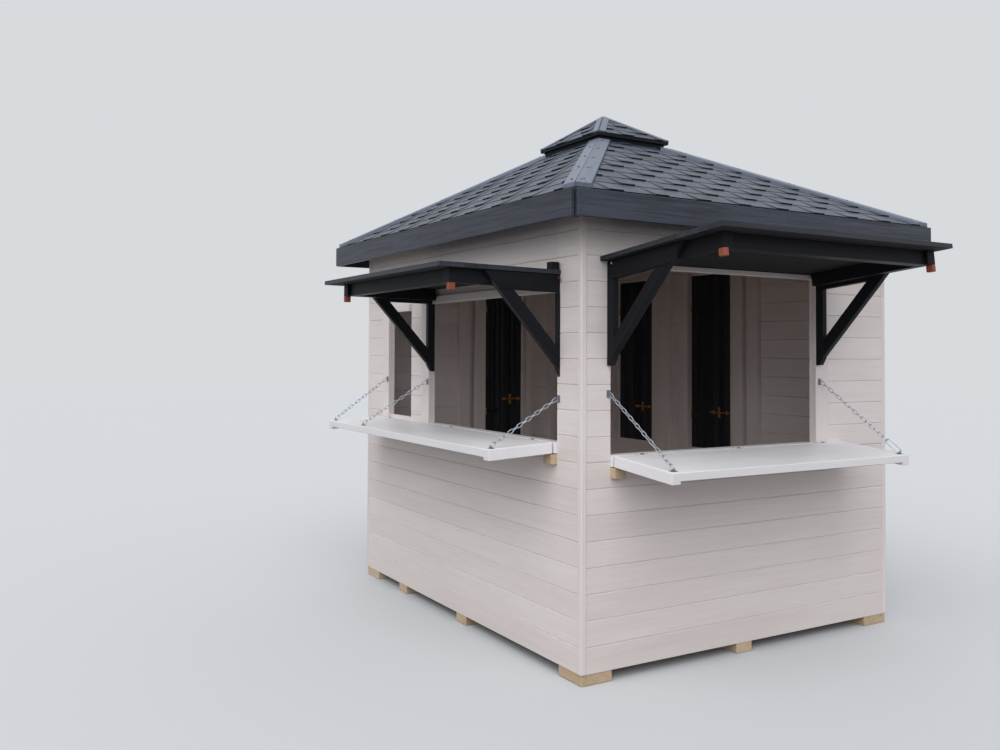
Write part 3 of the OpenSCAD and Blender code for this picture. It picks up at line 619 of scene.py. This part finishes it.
# %% Shutters
SHUTTER_BOARD = 0.143
shutters = bmesh.new()
for kept, dropped, normal in ((0, 1, Vector((1, 0, 0))), (1, 0, Vector((0, 1, 0)))):
    slab = copy_of("canopy_boards")
    bmesh.ops.delete(slab, geom=islands(slab)[dropped], context="FACES")
    edge = min(v.co.dot(normal) for v in slab.verts)
    join_into(shutters, sliced(slab, normal, edge, SHUTTER_BOARD, TIGHT_JOINT))
piece("shutter_planks", shutters, SHUTTER, "hut", ["canopy_boards"])
print("floor, door and shutters laid")


# %% Boxes
def solids(node, merge=1e-5):
    """The low and high corner of each separate solid in a CAD node."""
    made = copy_of(node, merge)
    boxes = [extent(group) for group in islands(made)]
    made.free()
    return boxes


def block(made, one, other, ease=0.0):
    """A box between two opposite corners, its edges eased."""
    low, high = Vector(map(min, one, other)), Vector(map(max, one, other))
    place = Matrix.Translation((low + high) / 2) @ Matrix.Diagonal((*(high - low), 1.0))
    verts = bmesh.ops.create_cube(made, size=1.0, matrix=place)["verts"]
    if ease:
        bevel(made, once(e for v in verts for e in v.link_edges), ease)


# %% [markdown]
# A closed door needs something to shut against. These are laths nailed round the inside of its
# opening, two upright and one across the top. Plain boxes do, because only their edges are seen.

# %% Stops round the door
STOP_W, STOP_T, TOP_LAP = 0.012, 0.010, 0.010
LEFT_GAP, GAP = 0.0025, 0.014       # from the door's edge to the wall, on its left and elsewhere
left_edge, left_in = door_low.x - LEFT_GAP, door_low.x + STOP_W
right_in, right_edge = door_high.x - STOP_W, door_high.x + GAP
stops = bmesh.new()
for start, end, bottom in ((left_edge, left_in, door_low.z), (right_in, right_edge, door_low.z),
                           (left_in, right_in, door_high.z - TOP_LAP)):
    block(stops, (start, door_low.y - STOP_T, bottom), (end, door_low.y, door_high.z + GAP), 0.002)
piece("door_stops", stops, WALL, "hut")

# %% [markdown]
# ## Leaves
# Each black leaf is a row of narrow upright boards with bevelled joints, so it looks ribbed. A
# bump pattern would do from afar, but the ribs show against the light, so the leaf is sliced as
# well.

# %% Ribbed leaves
RIBS, RIB_JOINT = 7, 0.005
leaf_boards = bmesh.new()
for low, high in solids("hatch_leaves"):
    size = high - low
    across = 0 if size.x > size.y else 1
    normal = Vector((1 - across, across, 0))
    leaf = bmesh.new()
    block(leaf, low, high)
    join_into(leaf_boards, sliced(leaf, normal, low[across], size[across] / RIBS, RIB_JOINT))
piece("leaf_boards", leaf_boards, LEAF, "hut", ["hatch_leaves"])

# %% [markdown]
# Brass barrel bolts lock the leaves from inside, and black butts with brass knuckles carry them.
# The CAD has a plain block for each. Bars and knobs are turned on a lathe, and a capped cone is
# the same shape, so rods make them; guides and plates are small blocks.

# %% A round bar
def rod(made, start, end, radius, segments=16, taper=1.0):
    """A round bar between two points, with capped ends."""
    start, end = Vector(start), Vector(end)
    way = end - start
    bmesh.ops.create_cone(made, cap_ends=True, segments=segments, radius1=radius,
                          radius2=radius * taper, depth=way.length,
                          matrix=Matrix.Translation((start + end) / 2)
                          @ way.to_track_quat("Z", "Y").to_matrix().to_4x4())


# %% A barrel bolt and a butt
BAR_LENGTH, BAR_R, BAR_OUT = 0.2, 0.0055, 0.008
# Along the bar, wide, half as tall, thick: a guide, the cross plate and the other guide.
PLATES = ((0.03, 0.022, 0.013, 0.0045), (0.11, 0.022, 0.040, 0.0025), (0.17, 0.022, 0.013, 0.0045))
KNOB_AT, KNOB_FROM, KNOB_TO, KNOB_R = 0.14, 0.006, 0.0118, 0.006
KNUCKLE_R, KNUCKLE_PAST = 0.006, 0.012


def barrel_bolt(made, low, high, flat):
    """A bolt laid on a leaf's face; flat is the axis that looks out of that face."""
    along = 1 - flat
    inward = -1 if flat else 1
    start = (low + high)[along] / 2 - inward * (high - low)[along] / 2

    def spot(run, out, up=0.0):
        place = Vector((0, 0, (low.z + high.z) / 2 + up))
        place[along] = start + inward * run
        place[flat] = high[flat] - out
        return place

    rod(made, spot(0.0, BAR_OUT), spot(BAR_LENGTH, BAR_OUT), BAR_R)
    for run, wide, tall, thick in PLATES:
        block(made, spot(run - wide / 2, 0.0, -tall), spot(run + wide / 2, thick, tall), 0.0008)
    rod(made, spot(KNOB_AT, KNOB_FROM), spot(KNOB_AT, KNOB_TO), KNOB_R, taper=0.8)


def knuckle(made, low, high, flat):
    """The brass pin of a butt, standing past it at the leaf's edge."""
    foot = Vector((0, 0, low.z - KNUCKLE_PAST))
    foot[flat] = high[flat] - KNUCKLE_R
    foot[1 - flat] = low.x if flat else high.y
    rod(made, foot, (foot.x, foot.y, high.z + KNUCKLE_PAST), KNUCKLE_R, 12)


# %% Bolts and butts on the leaves
BUTT_TALL = 0.033       # a fitting taller than this is a butt, and a lower one is a bolt
brass_parts, butts = bmesh.new(), bmesh.new()
for low, high in solids("hatch_fittings"):
    size = high - low
    flat = 1 if size.y < size.x else 0
    if size.z > BUTT_TALL:
        block(butts, low, high, 0.001)
        knuckle(brass_parts, low, high, flat)
    else:
        barrel_bolt(brass_parts, low, high, flat)
piece("leaf_bolts", brass_parts, BRASS, "hut", ["hatch_fittings"], grain=False)
piece("leaf_butts", butts, LEAF, "hut")
print("leaves hung")

# %% [markdown]
# ## The roof
# Four slopes lean together under a point. Shingles, hip boards and nails all follow them, and
# working each one out in world space would be the same sum again and again. So a slope is
# described once: where its eave is, which way it climbs and how wide it is on the way up.
# Everything on it is then laid out in three numbers: along, up the slope, and out.

# %% A slope of a pyramid roof
class Slope:
    """One side of a pyramid roof, from the middle of its eave."""

    def __init__(self, centre, outward, half_width, run, eave_z, peak_z):
        self.half_width = half_width
        rise = peak_z - eave_z
        self.length = math.hypot(run, rise)
        outward = Vector(outward)
        self.along = Vector((0, 0, 1)).cross(outward)
        self.climb = (outward * -run + Vector((0, 0, rise))) / self.length
        self.out = self.along.cross(self.climb)
        self.eave = Vector((centre.x, centre.y, eave_z)) + outward * run

    def half_at(self, up):
        return self.half_width * (1 - up / self.length)

    def point(self, along, up, out):
        return self.eave + self.along * along + self.climb * up + self.out * out


def slopes(half_x, half_y, eave_z, peak_z):
    """The front, back, left and right slope over a rectangle."""
    ways = (((0, -1, 0), half_x, half_y), ((0, 1, 0), half_x, half_y),
            ((-1, 0, 0), half_y, half_x), ((1, 0, 0), half_y, half_x))
    return [Slope(MIDDLE, way, half, run, eave_z, peak_z) for way, half, run in ways]


# %% The four slopes of the hut
roof_low, roof_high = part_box("roof_front")
side_low, side_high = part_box("roof_left")
heights = sorted({round(v.co.z, 4) for v in NODES["roof_front"].data.vertices})
EAVE_Z, PEAK_Z = heights[1], heights[-1]
HALF_X = (roof_high.x - roof_low.x) / 2
HALF_Y = (side_high.y - side_low.y) / 2
MIDDLE = Vector(((roof_high.x + roof_low.x) / 2, (side_high.y + side_low.y) / 2, 0))
SLOPES = slopes(HALF_X, HALF_Y, EAVE_Z, PEAK_Z)
print("slope length", round(SLOPES[0].length, 3))

# %% [markdown]
# Shingles come as strips with tabs. A strip is nailed over the one below, and every other tab has
# a second layer on it, which throws the short dark dashes that run across this roof. The real
# strips are cut at the hips with a knife: here too the courses run past the hips and a plane cuts
# them off.

# %% One tab of a shingle
TAB_W, TAB_PERIOD, TAB_GAP = 0.205, 0.30, 0.0015
SINGLE, DOUBLE = 0.0025, 0.009      # how thick a tab is at its butt, of one layer and of two
BUTT_OUT, TOP_OUT, TOP_T = 0.002, 0.0002, 0.001


def tab(made, slope, left, right, low, high, thick):
    """One tab: thick at its lower edge, thin where the next course covers it."""
    base = [made.verts.new(slope.point(*spot)) for spot in (
        (left, low, BUTT_OUT), (right, low, BUTT_OUT),
        (right, high, TOP_OUT), (left, high, TOP_OUT))]
    grown = bmesh.ops.extrude_face_region(made, geom=[made.faces.new(base)])["geom"]
    for vert in only(bmesh.types.BMVert, grown):
        lower = (vert.co - slope.eave).dot(slope.climb) < (low + high) / 2
        vert.co += slope.out * (thick if lower else TOP_T)


def trim(made, slope, border):
    """Cuts the tabs off along both hips, which they miss by border metres along the eave."""
    for side in (-1, 1):
        hip = (slope.climb * slope.length - slope.along * side * slope.half_width).normalized()
        away = hip.cross(slope.out).normalized()
        away *= math.copysign(1.0, away.dot(slope.along) * side)
        start = slope.point(side * (slope.half_width - border), 0.0, 0.0)
        bmesh.ops.holes_fill(made, edges=cut_off(made, start, away))


# %% Courses of shingles
LAP, LAST, PEAK_CLEAR = 0.02, 0.02, 0.005
STAGGER = 0.618         # each course starts this share of a period after the one below
JITTER = 0.004
DOUBLE_LOW = 0.003      # the second layer hangs this much lower
LOOKS_DOWNHILL = -0.7


def shingle(whole, slope, course, border, start, stop):
    """Courses of shingles from start to stop up the slope. The cut lower edges are marked butt."""
    made = bmesh.new()
    up, row = start, 0
    while up < stop - LAST:
        high = min(up + course + LAP, slope.length - PEAK_CLEAR)
        limit = slope.half_at(up)
        left = -slope.half_width - TAB_PERIOD + (row * STAGGER % 1.0) * TAB_PERIOD
        while left < limit:
            jitter = dice.uniform(-JITTER, JITTER)
            middle, right = left + TAB_W, left + TAB_PERIOD
            if middle > -limit:
                tab(made, slope, left, middle - TAB_GAP, up + jitter * 0.3, high, SINGLE)
            if right > -limit and middle < limit:
                tab(made, slope, middle, right - TAB_GAP, up - DOUBLE_LOW + jitter, high, DOUBLE)
            left += TAB_PERIOD
        up += course
        row += 1
    trim(made, slope, border)
    bmesh.ops.recalc_face_normals(made, faces=made.faces)
    butt = made.faces.layers.float.new("butt")
    for face in made.faces:
        face[butt] = float(face.normal.dot(slope.climb) < LOOKS_DOWNHILL)
    join_into(whole, made)


ROOF_COURSE, HIP_BORDER, EAVE_DROP, UNDER_CAP = 0.148, 0.101, 0.006, 0.84
tiles = bmesh.new()
for slope in SLOPES:
    shingle(tiles, slope, ROOF_COURSE, HIP_BORDER, -EAVE_DROP, slope.length * UNDER_CAP)
piece("shingle_courses", tiles, SHINGLE, "hut", grain="level")

# %% [markdown]
# The small cap is a roof of its own, with its own hip boards and its own short courses of
# shingles. It uses the same slopes and the same shingles, measured from the cap's solid. A hip
# board is a long four-cornered face, pushed out to its thickness.

# %% Cap shingles and hip boards
cap_points = [v.co for v in NODES["cap_roof"].data.vertices]
cap_half_x = max(p.x for p in cap_points) - MIDDLE.x
cap_half_y = max(p.y for p in cap_points) - MIDDLE.y
cap_edge = max(p.z for p in cap_points if p.x > MIDDLE.x + cap_half_x - 1e-4)
cap_peak = max(p.z for p in cap_points)
CAP_COURSE, CAP_HIP, CAP_BORDER, CAP_DROP, CAP_SHARE = 0.095, 0.055, 0.057, 0.004, 0.8
CAP_HIP_T = 0.010
cap_tiles, cap_hips = bmesh.new(), bmesh.new()
for slope in slopes(cap_half_x, cap_half_y, cap_edge, cap_peak):
    shingle(cap_tiles, slope, CAP_COURSE, CAP_BORDER, -CAP_DROP, slope.length * CAP_SHARE)
    crown = slope.length * (1 - CAP_HIP / slope.half_width)
    for side in (-1, 1):
        outline = [(side * (slope.half_width - CAP_HIP), 0.0), (side * slope.half_width, 0.0),
                   (0.0, slope.length), (0.0, crown)]
        face = cap_hips.faces.new([cap_hips.verts.new(slope.point(u, d, 0.0)) for u, d in outline])
        grown = bmesh.ops.extrude_face_region(cap_hips, geom=[face])["geom"]
        bmesh.ops.translate(cap_hips, vec=slope.out * CAP_HIP_T,
                            verts=only(bmesh.types.BMVert, grown))
piece("cap_shingles", cap_tiles, SHINGLE, "hut", grain="level")
piece("cap_hip_boards", cap_hips, HIP, "hut")
eased("cap_roof", 0.002, BLACK)

# %% [markdown]
# The real cap stands on a low collar, so that no daylight shows under it. Four dark boards close
# that gap, a little in from the cap's edge. In the same way a block stands behind each corner of
# the fascia, where two boards meet and the raw roof boards would shine through the joint.

# %% The collar under the cap
COLLAR_IN, COLLAR_T, COLLAR_SUNK, COLLAR_CLEAR = 0.93, 0.02, 0.012, 0.002
reach_x, reach_y = cap_half_x * COLLAR_IN, cap_half_y * COLLAR_IN
collar_low = EAVE_Z + (PEAK_Z - EAVE_Z) * (1 - reach_x / HALF_X) - COLLAR_SUNK
collar_high = cap_edge - COLLAR_CLEAR


def collar_board(made, x, y):
    """A board that fills a range of x and y, measured from the middle of the roof."""
    block(made, (MIDDLE.x + x[0], MIDDLE.y + y[0], collar_low),
          (MIDDLE.x + x[1], MIDDLE.y + y[1], collar_high))


collar = bmesh.new()
for side in (-1, 1):
    collar_board(collar, (side * reach_x, side * (reach_x - COLLAR_T)), (-reach_y, reach_y))
    collar_board(collar, (COLLAR_T - reach_x, reach_x - COLLAR_T),
                 (side * reach_y, side * (reach_y - COLLAR_T)))
piece("cap_collar", collar, BLACK, "hut")

# %% Blocks behind the corners of the fascia
FASCIA_T, BACKING, BACKING_UP, BACKING_DOWN = 0.0245, 0.045, 0.004, 0.022
fascia_low, fascia_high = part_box("fascia_boards")
backing = bmesh.new()
for x in (fascia_low.x + FASCIA_T, fascia_high.x - FASCIA_T - BACKING):
    for y in (fascia_low.y + FASCIA_T, fascia_high.y - FASCIA_T - BACKING):
        block(backing, (x, y, fascia_low.z + BACKING_UP),
              (x + BACKING, y + BACKING, fascia_high.z - BACKING_DOWN))
piece("corner_backing", backing, BLACK, "hut")
print("cap laid")

# %% [markdown]
# ## Nails
# Nails hold the hip boards and the fascia. A nail head is a low round disc with a slight taper,
# sunk a little into the wood. One cone of ten sides is enough for a thing this small. The hip
# boards have them in pairs, every 0.29 m, and none where the cap covers the board.

# %% Nail heads
def head(made, place, out, radius, height):
    """A round head with a slight taper, standing out along a direction."""
    turn = Vector(out).to_track_quat("Z", "Y").to_matrix().to_4x4()
    bmesh.ops.create_cone(made, cap_ends=True, segments=10, radius1=radius, radius2=radius * 0.75,
                          depth=height, matrix=Matrix.Translation(place) @ turn)


HIP_NAILS, FIRST_UP, NAIL_STEP, NAIL_OUT = 6, 0.07, 0.29, 0.0225
PAIR = ((0.024, 0.0), (0.052, 0.018))       # in from the hip, and up the slope
UNDER_CAP_HALF = 0.34       # the cap covers the hips where the slope is narrower than this
FASCIA_INSETS, FASCIA_ROW, NAIL_SUNK = (0.04, 1.34), 0.03, 0.0003
HIP_HEAD, FASCIA_HEAD, HEAD_HEIGHT = 0.0055, 0.004, 0.002

nails = bmesh.new()
for slope in SLOPES:
    for step in range(HIP_NAILS):
        up = FIRST_UP + NAIL_STEP * step
        half = slope.half_at(up)
        if half <= UNDER_CAP_HALF:
            continue
        for side in (-1, 1):
            for inward, above in PAIR:
                head(nails, slope.point(side * (half - inward), up + above, NAIL_OUT), slope.out,
                     HIP_HEAD, HEAD_HEIGHT)
for z in (fascia_low.z + FASCIA_ROW, fascia_high.z - FASCIA_ROW):
    for inset in FASCIA_INSETS:
        for axis, other in ((0, 1), (1, 0)):
            for along in (fascia_low[axis] + inset, fascia_high[axis] - inset):
                for face, way in ((fascia_low[other], -1), (fascia_high[other], 1)):
                    place, out = Vector((0, 0, z)), Vector((0, 0, 0))
                    place[axis], place[other] = along, face + way * NAIL_SUNK
                    out[other] = way
                    head(nails, place, out, FASCIA_HEAD, HEAD_HEIGHT)
piece("nail_heads", nails, DULL, "hut", grain=False)
print("nailed")

# %% [markdown]
# ## Chains
# A chain link is one length of wire bent into a loop and welded. A torus could be stretched into
# one, but its wire would thin out. Here a circle, the wire's section, is spun half a turn, run
# along a side, spun again and run back. Every link sits where the CAD has one, a quarter turned
# against the next. A chain hangs between the wall and a counter that moves, but here it is one
# fixed piece that rides neither body.

# %% One link of wire
WIRE_SIDES, BEND_STEPS = 10, 8


def link(made, place, length, width, wire):
    """A loop of wire, length and width measured outside, lying along X before it is placed."""
    bend = (width - wire) / 2
    side = (length - wire) / 2 - bend
    start = Matrix.Translation((side, bend, 0)) @ Matrix.Rotation(math.pi / 2, 4, "Y")
    ring = bmesh.ops.create_circle(made, segments=WIRE_SIDES, radius=wire / 2,
                                   matrix=start)["verts"]
    every = list(ring)
    front = once(e for v in ring for e in v.link_edges)
    for centre, push in ((side, -2 * side), (-side, 2 * side)):
        turned = bmesh.ops.spin(made, geom=front, cent=(centre, 0, 0), axis=(0, 0, 1),
                                dvec=(0, 0, 0), angle=-math.pi, steps=BEND_STEPS,
                                use_merge=False)["geom_last"]
        grown = bmesh.ops.extrude_edge_only(made, edges=only(bmesh.types.BMEdge, turned))["geom"]
        front = [e for e in only(bmesh.types.BMEdge, grown) if all(v in grown for v in e.verts)]
        bmesh.ops.translate(made, vec=(push, 0, 0), verts=once(v for e in front for v in e.verts))
    bmesh.ops.remove_doubles(made, verts=made.verts, dist=1e-6)
    bmesh.ops.transform(made, matrix=place, verts=made.verts)


# %% A chain of links
WIRE, LINK_W = 0.005, 0.022
SNAP_WIRE, SNAP_W, SNAP_LINKS = WIRE * 1.3, 0.032, 3
PLAY = 0.0008           # how far a link can slip along the next one


def chain(name, spots, hides, snap=0):
    """Links at these centres, each turned a quarter from the one before.
    One long oval snap link stands for the last few, where snap says how many."""
    way = (spots[-1] - spots[0]).normalized()
    pitch = (spots[-1] - spots[0]).length / (len(spots) - 1)
    side = Vector((0, 0, 1)).cross(way).normalized()
    lie = Matrix((way, side, way.cross(side))).transposed().to_4x4()
    plain = len(spots) - snap
    links = [(step, spots[step], pitch, LINK_W, WIRE) for step in range(plain)]
    if snap:
        middle = (spots[-snap] + spots[-1]) / 2
        links.insert(0, (plain, middle, pitch * snap, SNAP_W, SNAP_WIRE))
    whole = bmesh.new()
    for step, spot, inside, width, wire in links:
        one = bmesh.new()
        turned = Matrix.Rotation(math.pi / 2 * (step % 2 + 1), 4, "X")
        link(one, Matrix.Translation(spot) @ lie @ turned, inside + 2 * wire + PLAY, width, wire)
        join_into(whole, one)
    thing = piece(name, whole, ZINC, None, hides, grain=False, smooth=1.2)
    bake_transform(thing)


# %% Hang the chains
SEAM = 0.0003           # the links' solids have an open seam up to this wide
BETWEEN_CHAINS = 0.15   # links further apart than this belong to two chains
for node, body, axis in (("front_chains", "front_counter", 0), ("left_chains", "left_counter", 1)):
    spots = sorted(((low + high) / 2 for low, high in solids(node, SEAM)), key=lambda p: p[axis])
    runs = [[spots[0]]]
    for spot in spots[1:]:
        if spot[axis] - runs[-1][-1][axis] > BETWEEN_CHAINS:
            runs.append([])
        runs[-1].append(spot)
    for number, run in enumerate(runs):
        run.sort(key=lambda p: -p.z)
        right_end = node == "front_chains" and number == len(runs) - 1
        chain(node + "_" + "abc"[number], run, [node] if number == 0 else [],
              SNAP_LINKS if right_end else 0)
    print(node, [len(run) for run in runs])

# %% [markdown]
# ## Hooks, eyes and hinges
# They keep the CAD's shapes, which are already right. Only their round parts are shaded smooth,
# and the hinges are painted over with the counters, so they are pale.

# %% Hooks, eyes and hinge knuckles
for name in ("chain_hooks", "counter_hinges", "front_counter_fittings", "left_counter_fittings"):
    piece(name + "_smooth", copy_of(name), PALE_ZINC if name == "counter_hinges" else GREY_ZINC,
          body_of(name), [name], grain=False)
print("hooks and hinges shaded")

# %% [markdown]
# ## Small things
# Last come the things that a joiner adds on the spot: a block that stops the left shutter at its
# near end, the rusty knuckle under it, the pivot bolts of the brackets and a pull on the door.
# Blocks, rods and nail heads from above make them all.

# %% Stop block and knuckle of the left shutter
stop = bmesh.new()
block(stop, at(-0.060, 0.186, 2.078), at(-0.010, 0.232, 2.136), 0.003)
piece("shutter_stop", stop, BLACK, "hut")
rusty = bmesh.new()
rod(rusty, at(-0.020, 0.172, 2.050), at(-0.020, 0.190, 2.050), 0.008)
piece("shutter_knuckle", rusty, RUST, "hut", grain=False)

# %% Pivot bolts and door pull
PIVOTS = (((0.1625, -0.035, 2.122), (-1, 0, 0)), ((1.7865, -0.045, 2.122), (1, 0, 0)),
          ((-0.035, 1.6505, 2.030), (0, 1, 0)))
PIVOT_R, PIVOT_HEIGHT = 0.009, 0.005
PULL_IN, PULL_OUT, PULL_R, STEM_R = 0.06, 0.03, 0.007, 0.006
PULL_LOW, PULL_HIGH, STEMS = 1.04, 1.22, (1.06, 1.20)       # heights above the near corner

bolts = bmesh.new()
for place, out in PIVOTS:
    head(bolts, at(*place), out, PIVOT_R, PIVOT_HEIGHT)
pull_x, pull_y = door_low.x + PULL_IN, door_high.y + PULL_OUT
for height in STEMS:
    stem_z = CORNER.z + height
    rod(bolts, (pull_x, door_high.y, stem_z), (pull_x, pull_y, stem_z), STEM_R)
rod(bolts, (pull_x, pull_y, CORNER.z + PULL_LOW), (pull_x, pull_y, CORNER.z + PULL_HIGH), PULL_R)
piece("bolts_and_pull", bolts, ZINC, "hut", grain=False)

# %% [markdown]
# ## The stage
# The hut stands on a plain floor under a bright, clouded sky. A pale floor would throw much light
# up under the roof, where the dark paving throws little. So the floor's colour is pale only for
# the rays that see it, straight or in metal and glass, and dark for the rays that light the hut.

# %% Floor
FLOOR_REACH = 30.0
CAMERA_PALE, LIGHT_DARK = (0.57, 0.585, 0.605, 1.0), (0.13, 0.12, 0.115, 1.0)
floor_mesh = bpy.data.meshes.new("floor")
made = bmesh.new()
bmesh.ops.create_grid(made, x_segments=1, y_segments=1, size=FLOOR_REACH)
made.to_mesh(floor_mesh)
made.free()
floor = bpy.data.objects.new("floor", floor_mesh)
bpy.context.scene.collection.objects.link(floor)
pale = Finish("pale_floor", (0.5, 0.5, 0.5), 0.9)
camera_ray, glossy_ray, clear_ray = (
    pale.node("ShaderNodeLightPath", {}, {}, ray)
    for ray in ("Is Camera Ray", "Is Glossy Ray", "Is Transmission Ray"))
seen = (camera_ray + glossy_ray + clear_ray).clamp()
pale.feed("Base Color", pale.mix(seen, LIGHT_DARK, CAMERA_PALE))
floor_mesh.materials.append(pale.material)

# %% [markdown]
# The sky gives an even, slightly blue light. One very wide lamp stands for the brightest part of
# the clouds. It shines from above, from behind the camera and a little to its left, so the
# shadows are soft and the two walls that face the camera are lit about alike.

# %% Sky and bright cloud
SKY_COLOUR, SKY_STRENGTH = (0.94, 0.965, 1.0, 1.0), 0.73
CLOUD_SHINES, CLOUD_STRENGTH, CLOUD_WIDE = Vector((0.50, 0.49, -0.71)), 2.1, 1.2
world = bpy.data.worlds.new("world")
world.use_nodes = True
bpy.context.scene.world = world
sky = world.node_tree.nodes["Background"]
sky.inputs["Color"].default_value = SKY_COLOUR
sky.inputs["Strength"].default_value = SKY_STRENGTH

cloud_data = bpy.data.lights.new("bright_cloud", "SUN")
cloud_data.energy, cloud_data.angle = CLOUD_STRENGTH, CLOUD_WIDE
cloud = bpy.data.objects.new("bright_cloud", cloud_data)
cloud.matrix_world = CLOUD_SHINES.to_track_quat("-Z", "Y").to_matrix().to_4x4()
bpy.context.scene.collection.objects.link(cloud)
bpy.context.scene.view_settings.view_transform = "Standard"
